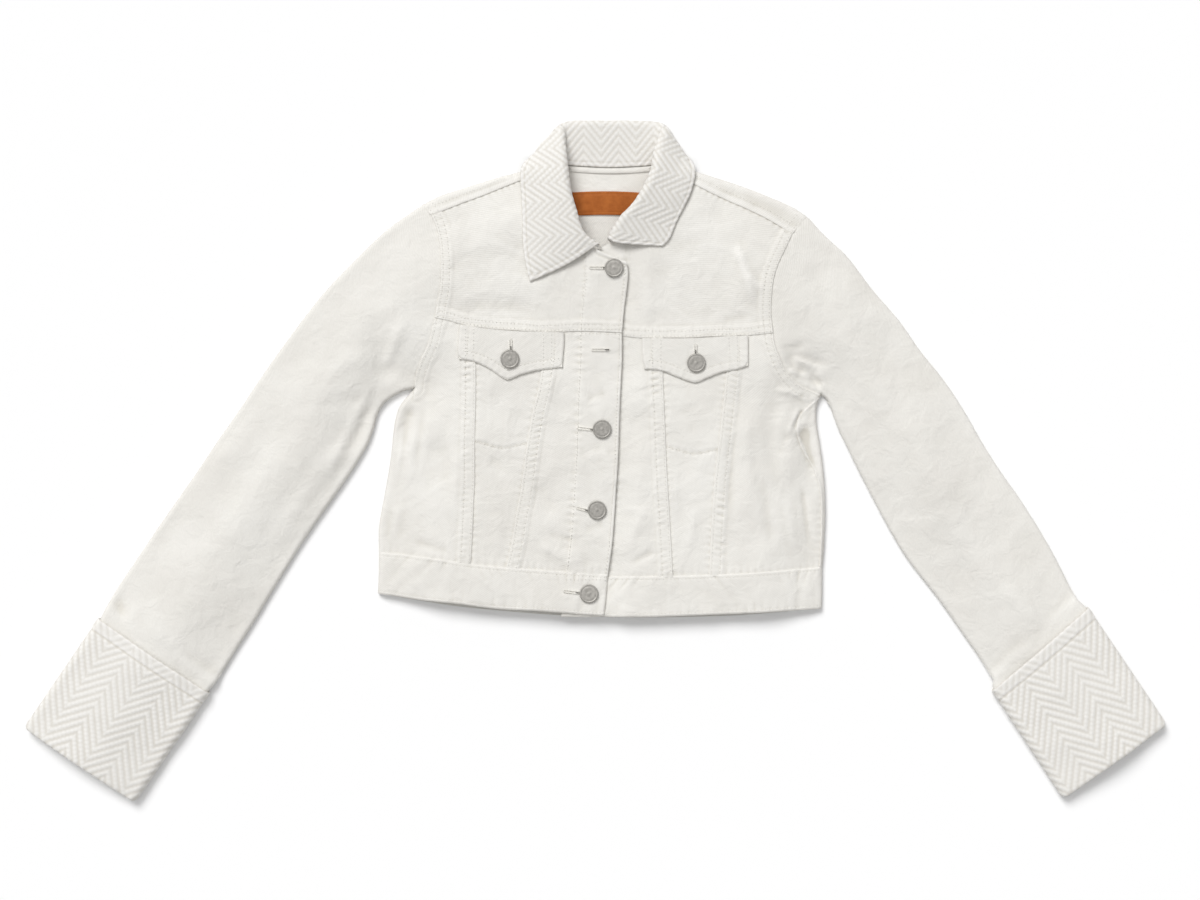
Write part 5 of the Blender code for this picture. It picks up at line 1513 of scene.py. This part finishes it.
def make_cuff(side):
    corners = [np.array(corner, float) for corner in CUFF_CORNERS[side]]
    top_outer, top_inner, low_outer, low_inner = corners
    length = np.linalg.norm(low_outer - top_outer + low_inner - top_inner) / 2
    inner_face = SLEEVE_IN_CUFF + CLOTH + 0.3 + CUFF_CLOTH
    turn = inner_face / 2
    profile = [(along, 0.0, along) for along in [0.0, 0.6, 1.4, 2.4]]
    profile += [(along, 0.0, along) for along in np.linspace(3.7, length - turn - 0.6, 100)]
    for angle in (-60, -30, 0, 30, 60, 90):
        turned = math.radians(angle)
        profile.append((length - turn + turn * math.cos(turned), turn + turn * math.sin(turned),
                        length + turn * turned))
    profile += [(length - along, inner_face, length + along) for along in (8.0, 14.0, 20.0)]
    rows, flat = [], []
    for along, depth, run in profile:
        share = along / length
        signed, ring = cuff_ring(top_outer + (low_outer - top_outer) * share,
                                 top_inner + (low_inner - top_inner) * share, depth)
        rows.append(ring)
        flat.append(np.column_stack([signed, np.full(len(signed), run)]))
    points, flat = np.array(rows), np.array(flat)
    normals = surface_normals(points)
    if normals[20, -40, 2] < 0:
        normals = -normals
    run = flat[..., 1]
    hem = 0.6 * ease((CUFF_HEM - run) / 1.5) - 0.6 * hump(run, CUFF_HEM_ROW, 1.0)
    hem -= 0.9 * rolled_edge(run, 2.0)
    hem += 0.25 * dents(flat[..., 0], 8.0, 2.0) * hump(run, CUFF_HEM_ROW, 4.0)
    soft = 0.5 * unevenness(points[..., :2].reshape(-1, 2) * 1.3 + 40.0).reshape(run.shape)
    ribs = rib_height(flat, CUFF_COLUMN, CUFF_RIBS) * (0.25 + 0.75 * ease((run - 11.0) / 3.0))
    relief = ribs + hem + np.where(flat[..., 0] > 6, soft, 0)
    relief = relief * ease((length + 4 - run) / 8.0) - 0.35
    points = points + normals * relief[..., None]
    axis = (low_outer + low_inner - top_outer - top_inner) / 2
    axis = axis / np.linalg.norm(axis)
    across = np.abs(flat[..., 0])
    corner = np.minimum(across, across.max() - across)
    back = 3.0 * (1 - np.clip(corner / 5.0, 0, 1)) ** 2 * ease((run - length + 14) / 14)
    points[..., :2] -= axis * back[..., None]
    points[:, 0] = points[:, -1] = (points[:, 0] + points[:, -1]) / 2
    points[..., 2] = np.maximum(points[..., 2], 0.0)
    piece = cloth_grid("cuff_" + side + "_wool", points, flat=flat)
    # The relief kept here is where the finish paints shade into the grooves of the ribs and the
    # hem.
    keep_relief(piece, standing_out(ribs + hem))
    merge(piece, 0.02, outward=True)
    highest = max(piece.data.polygons, key=lambda face: face.center.z)
    if highest.normal.z < 0:
        piece.data.flip_normals()
    thicken(piece, CUFF_CLOTH - 0.5, WOOL_SMOOTH)
    settle(piece, "cuff_" + side, CUFF_WOOL)


for side in TURN:
    make_cuff(side)

# %% [markdown]
# ## Collar
# The collar is one strip of the same wool. Each row of the table is a section across it,
# from the neck seam up over the roll and down to the edge of the fall. Smooth lines
# through the sections give the net, and the ribs run across the strip.

# %% Collar sections and net
COLLAR = [
    [(6, 214, 17), (4, 218, 21), (1, 217, 24), (-4, 213, 24), (-29, 197, 22.5), (-66, 180, 20.4)],
    [(-8, 222, 17), (-7, 225, 24), (-11, 224, 27), (-17, 221, 26.5), (-41, 208, 24),
     (-69, 190, 20.4)],
    [(-20, 232, 17), (-14, 235, 25), (-18, 236, 29), (-25, 234, 28), (-48, 225, 25),
     (-73, 214, 19.8)],
    [(-29, 248, 16), (-19, 251, 25), (-23, 252, 30), (-31, 250, 29), (-51, 245, 25),
     (-74, 240, 19.2)],
    [(-34, 264, 13.5), (-24, 269, 24), (-28, 270, 30), (-36, 269, 29), (-54, 266, 24),
     (-75, 268, 17.5)],
    [(-38, 281, 10.8), (-27, 291, 22), (-31, 292, 28), (-39, 292, 27), (-56, 292, 21),
     (-75, 295, 14.6)],
    [(-38, 294, 9.6), (-29, 309, 20), (-33, 313, 23), (-42, 316, 20), (-58, 315, 10),
     (-63, 308, 3)],
    [(-33, 299.3, 7.4), (-30, 322, 14), (-34, 330, 15), (-42, 333, 10), (-46, 327, 3),
     (-50, 300, 0)],
    [(-26, 297.7, 5.6), (-28, 331, 9.4), (-29, 340, 7.6), (-30, 341.5, 4.2), (-31, 336, 0),
     (-34, 288, 0)],
    [(-6, 296.5, 5.4), (-6, 337, 8.3), (-6, 342, 6.6), (-6, 342.5, 3), (-6, 337, 0), (-6, 284, 0)],
    [(14, 295.7, 5.4), (14, 337, 8.3), (14, 342, 6.6), (14, 342.5, 3), (14, 337, 0), (14, 282, 0)],
    [(34, 296.5, 5.4), (34, 337, 8.3), (34, 342, 6.6), (34, 342.5, 3), (34, 337, 0), (34, 284, 0)],
    [(55, 297.7, 5.6), (62, 331, 9.4), (64, 339, 7.6), (65, 340.5, 4.2), (66, 335, 0),
     (64, 288, 0)],
    [(62, 299.3, 7.4), (61, 322, 14), (66, 330, 15), (74, 332, 10), (78, 326, 3), (80, 300, 0)],
    [(66, 294.5, 9.6), (57, 309, 20), (62, 313, 23), (71, 315, 20), (86, 313, 10), (92, 307, 3)],
    [(64, 282, 10.8), (54.5, 293, 22), (58, 292, 28), (66, 290, 27), (82, 291, 21),
     (99.5, 293, 14.6)],
    [(57, 265.5, 13.5), (47, 274.5, 24), (50, 273, 30), (57, 269.5, 29), (77, 269, 24),
     (96, 272, 18)],
    [(48.6, 250.5, 16), (35.5, 257, 25), (38, 255, 30), (44, 250.5, 29), (66, 251, 25),
     (88, 254, 19.4)],
    [(38.5, 239, 17), (24.7, 246, 24), (27, 244, 29), (32.5, 239, 28), (56, 239, 25),
     (80, 238, 20)],
    [(27, 227.5, 17), (16, 233.5, 22), (18.5, 231.5, 27), (24.7, 226.4, 26.5),
     (46, 226.5, 24), (73.5, 223, 20.4)],
    [(15, 218.5, 16), (10.5, 223.5, 19.5), (13.0, 222, 24.5), (20, 218.5, 25),
     (41, 216.5, 22.5), (67, 215.5, 20.4)],
]


ALONG_STEPS = 12               # rows of points between two sections
COLLAR_COLUMNS = 66            # points across the strip
ROW_APART = 1.05               # mean distance of the rows, for the rim at both ends
LEAF_TURN = {"right": 4.0, "left": -16.0}


def collar_cut(grid):
    """Where each point lies on the cloth: the back and the two leaves are cut straight.

    The ribs turn back along lines across the collar, so the first number runs along it.
    """
    section = np.arange(len(grid))[:, None] / ALONG_STEPS + 0 * grid[..., 0]
    x, y = grid[..., 0], grid[..., 1]
    flat = np.dstack([x - NECK_CENTRE_X + COLLAR_COLUMN / 2, y])
    for on_leaf, turn in ((section < 7.5, LEAF_TURN["right"]),
                          (section > 12.5, LEAF_TURN["left"])):
        turn = math.radians(turn)
        along = -x * math.sin(turn) + y * math.cos(turn)
        across = x * math.cos(turn) + y * math.sin(turn)
        flat[on_leaf] = np.dstack([along, across])[on_leaf]
    return flat


def make_collar():
    across = np.array([dense_curve(np.array(row, float)) for row in COLLAR])
    grid = np.array([dense_curve(across[:, k], ALONG_STEPS) for k in range(across.shape[1])])
    grid = grid.transpose(1, 0, 2)
    grid = np.array([at_shares(row, np.linspace(0, 1, COLLAR_COLUMNS)) for row in grid])
    flat = collar_cut(grid)
    normals = surface_normals(grid)
    middle = len(grid) // 2
    if normals[middle, 2, 2] < 0:
        normals = -normals
    run = np.linalg.norm(np.diff(grid, axis=1), axis=2).cumsum(1)
    run = np.concatenate([np.zeros((len(grid), 1)), run], axis=1)
    rows = np.arange(len(grid))
    ends = np.minimum(rows, rows[::-1])[:, None] * ROW_APART
    from_rim = np.minimum(np.minimum(run[:, -1:] - run, run), ends + 0 * run)
    relief = rib_height(flat, COLLAR_COLUMN, COLLAR_RIBS)
    relief -= 0.35 * hump(from_rim, 4.4, 0.9)
    relief -= 0.8 * rolled_edge(from_rim, 2.0)
    grid = grid + normals * (relief - 0.3)[..., None]
    grid[..., 2] = np.maximum(grid[..., 2], 0.0)
    piece = cloth_grid("collar_wool", grid, flat=flat)
    # The relief kept here is where the finish paints shade into the grooves between the ribs and
    # along the rim.
    keep_relief(piece, standing_out(relief))
    if piece.data.polygons[middle * (COLLAR_COLUMNS - 1) + 2].normal.z < 0:
        piece.data.flip_normals()
    thicken(piece, COLLAR_CLOTH - 0.4, WOOL_SMOOTH)
    settle(piece, "collar", COLLAR_WOOL)


make_collar()

# %% [markdown]
# ## Neck binding and label
# A narrow tape covers the seam at the back of the neck, and a plain leather label is sewn
# below it. Both are thin, so each is a small net with its edges turned down.


def strip_on_back(name, node, slot, material, corners, wall, lift_by, cell, bow=0.0):
    left, right, low, high = corners
    x = np.linspace(left, right, int((right - left) / cell) + 2)
    y = np.linspace(high, low, int((high - low) / cell) + 3)
    grid_x, grid_y = np.meshgrid(x, y)
    grid_y = grid_y + bow * ((grid_x - (left + right) / 2) / (right - left) * 2) ** 2
    plan = np.dstack([grid_x, grid_y])
    points = plan.reshape(-1, 2)
    inset = np.minimum.reduce([grid_x - left, right - grid_x, high - y[:, None] + 0 * grid_x,
                               y[:, None] - low + 0 * grid_x]).ravel()
    height = bottom_height(points) + CLOTH + lift_by + wall
    height += 0.25 * np.sin(points[:, 0] / 11.0) - 0.5 * rolled_edge(inset, 1.6)
    if slot == "leather":
        height -= 0.35 * hump(inset, 2.6, 0.7)
    grid = np.dstack([plan, height.reshape(grid_x.shape)])
    piece = cloth_grid(name, grid)
    thicken(piece, wall, 50.0)
    settle(piece, node, material)


strip_on_back("neck_binding_tape", "neck_binding", "white_denim", DENIM, NECK_BINDING, 0.8,
              1.0, 1.1, bow=2.0)
strip_on_back("neck_label_leather", "neck_label", "leather", LEATHER, NECK_LABEL, 1.2, 0.8, 0.8,
              bow=-1.2)

# %% [markdown]
# ## Buttons
# A shank button is a stamped metal disc: a rolled rim, a sunk ring and a raised middle.
# Half of its section is drawn as a line of points, and Screw spins it into a disc. It is
# made once, and each copy is tilted to lie on the cloth under it.

# %% Buttons
BUTTONS = [                    # name, x, y
    ("button_neck", 18.0, 194.0),
    ("button_placket_upper", 6.0, 33.0),
    ("button_placket_lower", 1.0, -48.0),
    ("button_waistband", -7.0, -131.5),
    ("button_flap_right", -86.0, 103.0),
    ("button_flap_left", 100.0, 99.0),
]
SEAT_RADIUS = 5.0              # of the ring on the cloth that carries a button
BUTTON_SECTION = [             # radius, height
    (0.0, 2.7), (1.2, 2.7), (1.7, 2.55), (2.4, 2.5), (4.4, 2.55), (5.3, 2.62), (6.4, 2.6),
    (7.0, 2.52), (7.5, 2.42), (7.9, 2.55), (8.3, 2.7), (8.7, 2.68), (9.1, 2.5), (9.3, 2.1),
    (9.2, 1.6), (8.6, 1.3), (5.0, 1.2), (4.6, 0.9), (4.6, 0.0), (0.0, 0.0),
]


def make_button():
    bpy.ops.object.select_all(action="DESELECT")
    bpy.ops.mesh.primitive_grid_add(x_subdivisions=len(BUTTON_SECTION) - 1, y_subdivisions=1,
                                    size=1.0)
    button = bpy.context.object
    for vertex, (radius, height) in zip(button.data.vertices, BUTTON_SECTION * 2):
        vertex.co = (radius * MM, 0.0, height * MM)
    merge(button, 0.01)
    mesh = bmesh.new()
    mesh.from_mesh(button.data)
    bmesh.ops.delete(mesh, geom=mesh.faces[:], context="FACES_ONLY")
    mesh.to_mesh(button.data)
    mesh.free()
    spin = button.modifiers.new("spin", "SCREW")
    spin.angle = math.tau
    spin.steps = spin.render_steps = 40
    spin.use_merge_vertices = True
    spin.merge_threshold = 0.01 * MM
    spin.use_smooth_shade = True
    apply_all(button)
    merge(button, 0.01, outward=True)
    bpy.ops.object.shade_smooth_by_angle(angle=math.radians(35))
    return button


def cloth_below():
    """A tree of all faces of the pieces so far, for finding the cloth under a place."""
    corners, faces = [], []
    for piece in SHOWN:
        start = len(corners)
        corners.extend(tuple(vertex.co) for vertex in piece.data.vertices)
        faces.extend([start + k for k in face.vertices] for face in piece.data.polygons)
    return BVHTree.FromPolygons(corners, faces)


CLOTH_TREE = cloth_below()
UP = Vector((0, 0, 1))


def on_cloth(x, y):
    """The point and normal of the cloth that shows at a place given in mm."""
    above = Vector(((x + CENTRE_SHIFT[0]) * MM, (y + CENTRE_SHIFT[1]) * MM, 0.2))
    hit, normal = CLOTH_TREE.ray_cast(above, -UP)[:2]
    if hit is None:
        return None, None
    return hit, normal if normal.z > 0 else -normal


def seat_height(x, y, radius):
    """The height and tilt at which a disc rests on the cloth."""
    rim = []
    for k in range(12):
        turn = k / 12 * math.tau
        rim.append(on_cloth(x + radius * math.cos(turn), y + radius * math.sin(turn))[0])
    middle = sum(rim, Vector()) / len(rim)
    tilt = (rim[0] - rim[6]).cross(rim[3] - rim[9]).normalized()
    top = max((point - middle).dot(tilt) for point in rim)
    return middle + tilt * top, tilt


BUTTON = make_button()
for name, x, y in BUTTONS:
    centre, tilt = seat_height(x, y, SEAT_RADIUS)
    copy = BUTTON.copy()
    copy.data = BUTTON.data.copy()
    copy.name = copy.data.name = name + "_metal"
    bpy.context.scene.collection.objects.link(copy)
    turn = UP.rotation_difference(tilt.lerp(UP, 0.4))
    centre.x, centre.y = (x + CENTRE_SHIFT[0]) * MM, (y + CENTRE_SHIFT[1]) * MM
    copy.matrix_world = turn.to_matrix().to_4x4()
    copy.location = centre
    only(copy)
    bpy.ops.object.transform_apply(location=True, rotation=True, scale=True)
    settle(copy, name, METAL)
bpy.data.objects.remove(BUTTON, do_unlink=True)

# %% [markdown]
# ## Stitches
# Every stitch is the same short loop of thread: a small capsule that sinks at both ends.
# One is modelled, and copies of it are set along lines that follow the seams at the
# distance of the sewing machine's foot. Each copy is dropped on the cloth below it.

# %% One stitch, and rows of them
STITCH_PITCH = 3.7
STITCH = (1.35, 0.42, 0.34)    # half length, half width, half height
FRONT_EDGE_ROW = 2.6           # from the front edge to its row of stitches
SHOULDER_ROW = 8.5


def make_stitch():
    bpy.ops.object.select_all(action="DESELECT")
    bpy.ops.mesh.primitive_uv_sphere_add(segments=8, ring_count=4, radius=1.0,
                                         rotation=(0, math.radians(90), 0))
    stitch = bpy.context.object
    stitch.scale = [half * MM for half in STITCH]
    bpy.ops.object.transform_apply(location=True, rotation=True, scale=True)
    bpy.ops.object.shade_smooth()
    return stitch


def along_line(line, pitch, offset, side, skip):
    """Middle and direction of each stitch of a row beside a line, less both skipped ends."""
    total = lengths_along(line)[-1]
    places = np.arange(skip[0] + pitch / 2, total - skip[1], pitch)
    middle = at_lengths(line, places)
    ahead = at_lengths(line, places + 0.6) - at_lengths(line, places - 0.6)
    ahead /= np.maximum(np.linalg.norm(ahead, axis=1), 1e-9)[:, None]
    left = np.column_stack([-ahead[:, 1], ahead[:, 0]])
    return list(zip(middle + left * offset * side, ahead))


def sew(name, places, size=(1.0, 1.0, 1.0), material=THREAD):
    """Copies of the stitch at these places, dropped on the cloth and joined."""
    corners = np.empty(len(STITCH_MODEL.data.vertices) * 3, np.float32)
    STITCH_MODEL.data.vertices.foreach_get("co", corners)
    copies = []
    for (x, y), ahead in places:
        hit, normal = on_cloth(x, y)
        if hit is None:
            continue
        run = Vector((ahead[0], ahead[1], 0.0))
        run = (run - normal * run.dot(normal)).normalized()
        cross = normal.cross(run)
        frame_of = np.array([run * size[0], cross * size[1], normal * size[2]])
        copies.append(corners.reshape(-1, 3) @ frame_of + np.array(hit))
    faces = [tuple(face.vertices) for face in STITCH_MODEL.data.polygons]
    count = len(STITCH_MODEL.data.vertices)
    mesh = bpy.data.meshes.new(name)
    mesh.from_pydata(np.vstack(copies).tolist(), [],
                     [tuple(k + count * n for k in face) for n in range(len(copies))
                      for face in faces])
    mesh.shade_smooth()
    piece = bpy.data.objects.new(name, mesh)
    bpy.context.scene.collection.objects.link(piece)
    piece.data.materials.append(material)
    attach(piece, "root")
    print(f"{name}: {len(copies)} stitches")


STITCH_MODEL = make_stitch()
for side, turn in TURN.items():
    outer, inner = dense_curve(OUTER_FELL[side]), dense_curve(INNER_FELL[side])
    band = joined(*[dense_curve(part) for part in BAND_TOP[side]])
    shoulder, armhole = dense_curve(SHOULDER_SEAM[side]), armhole_line(side)
    rows = []
    for line, offset, left, skip in (
            (outer, EDGE_ROW, -turn, (0.0, 0.0)), (inner, EDGE_ROW, turn, (0.0, 0.0)),
            (outer, FELL_LAP - FAR_ROW, -turn, (0.0, 0.0)),
            (inner, FELL_LAP - FAR_ROW, turn, (0.0, 0.0)),
            (yoke_line(side), EDGE_ROW, turn, (1.0, 2.0)),
            (yoke_line(side), YOKE_LAP - FAR_ROW, turn, (1.0, 2.0)),
            (armhole, ARMHOLE_LAP - FAR_ROW, turn, (4.0, 14.0)),
            (armhole, EDGE_ROW, turn, (4.0, 14.0)),
            (front_edge(side), PLACKET - PLACKET_ROW, -turn, (16.0, 0.0)),
            (front_edge(side), FRONT_EDGE_ROW, -turn, (2.0, 0.0)),
            (shoulder, SHOULDER_ROW, turn, (6.0, 12.0)),
            (band, BAND_ROW, -turn, (0.0, 0.0)),
            (dense_curve(HEM[side]), HEM_ROW, turn, (0.0, 0.0)),
            (dense_curve(POCKET_BAG[side]), 0.0, turn, (0.0, 0.0)),
            (flap_outline(side), FLAP_ROW, turn, (10.0, 10.0))):
        rows += along_line(line, STITCH_PITCH, offset, left, skip)
    sew("stitches_front_" + side, rows)

# %% Buttonholes
BUTTONHOLES = [                # both ends of each slit
    ((-6, 194), (11, 194)), ((-4, 112), (13, 112)), ((-18, 34), (-2, 32)),
    ((-19, -46), (-7, -49)), ((-32, -129), (-16, -131)), ((-85, 122), (-85, 112)),
    ((99.5, 117), (99.5, 108)),
]
THREAD_APART = 1.15            # from the slit's middle to the threads on both sides
EYE = (12.6, 112.0)            # the round end of the empty buttonhole
thread_places, slit_places, eye_places = [], [], []
for start, end in BUTTONHOLES:
    start, end = np.array(start, float), np.array(end, float)
    length = np.linalg.norm(end - start)
    ahead = (end - start) / length
    left = np.array([-ahead[1], ahead[0]])
    for place in np.arange(0.0, length + 0.1, 0.8):
        for sign in (-1, 1):
            thread_places.append((start + ahead * place + left * sign * THREAD_APART, left))
    for place in (-0.9, length + 0.9):
        thread_places.append((start + ahead * place, left))
    for place in np.arange(1.5, length - 3.0, 1.6):
        slit_places.append((start + ahead * place, ahead))
    for place in np.arange(length - 3.6, length - 0.5, 1.0):
        eye_places.append((start + ahead * place, ahead))
eye_places += [(EYE, (1.0, 0.0)), (EYE, (0.0, 1.0))]
sew("buttonhole_threads", thread_places, (0.72, 0.85, 1.5))
sew("buttonhole_slits", slit_places, (0.5, 0.4, 0.4), SLIT_SHADE)
sew("buttonhole_eyes", eye_places, (0.75, 1.5, 1.2), SHADOW)
bpy.data.objects.remove(STITCH_MODEL, do_unlink=True)

# %% [markdown]
# ## Floor, light and camera
# The jacket lies on a white table. A lamp stands to the upper left, half way up, so every
# edge throws a soft shadow to the lower right. A very wide soft box almost straight above
# fills those shadows, and a dim white room does the rest. The camera looks straight down
# from nearly three metres, where a long lens shows little perspective.

# %% Studio
bpy.ops.object.select_all(action="DESELECT")
bpy.ops.mesh.primitive_plane_add(size=12.0, location=(0, 0, 0))
floor = bpy.context.object
floor.name = "floor"
paper, tree, shader = new_finish("white_table", 0.9)
shader.inputs["Base Color"].default_value = (0.95, 0.95, 0.95, 1.0)
shader.inputs["Specular IOR Level"].default_value = 0.0
floor.data.materials.append(paper)

world = bpy.data.worlds.new("room")
bpy.context.scene.world = world
world.use_nodes = True
world.node_tree.nodes["Background"].inputs["Color"].default_value = (1.0, 1.0, 1.0, 1.0)
world.node_tree.nodes["Background"].inputs["Strength"].default_value = 0.2

LIGHTS = [                     # degrees above the table, width in the sky, strength
    ("lamp", 48.0, 30.0, 2.15), ("soft_box", 88.0, 100.0, 1.08),
]
UPPER_LEFT = (-0.46, 0.89)
for name, height, width, energy in LIGHTS:
    lamp_data = bpy.data.lights.new(name, "SUN")
    lamp_data.angle = math.radians(width)
    lamp_data.energy = energy
    lamp = bpy.data.objects.new(name, lamp_data)
    bpy.context.scene.collection.objects.link(lamp)
    height = math.radians(height)
    toward = Vector((UPPER_LEFT[0] * math.cos(height), UPPER_LEFT[1] * math.cos(height),
                     math.sin(height)))
    lamp.rotation_euler = (-toward).to_track_quat("-Z", "Y").to_euler()

LENS = 85.0
FILM_WIDTH = 36.0
VIEW_WIDTH = 1.2
camera_data = bpy.data.cameras.new("camera")
camera_data.lens = LENS
camera_data.sensor_width = FILM_WIDTH
camera = bpy.data.objects.new("camera", camera_data)
bpy.context.scene.collection.objects.link(camera)
camera.location = (0.0045, 0.0109, VIEW_WIDTH * LENS / FILM_WIDTH + 0.015)
bpy.context.scene.camera = camera
bpy.context.scene.view_settings.view_transform = "Standard"
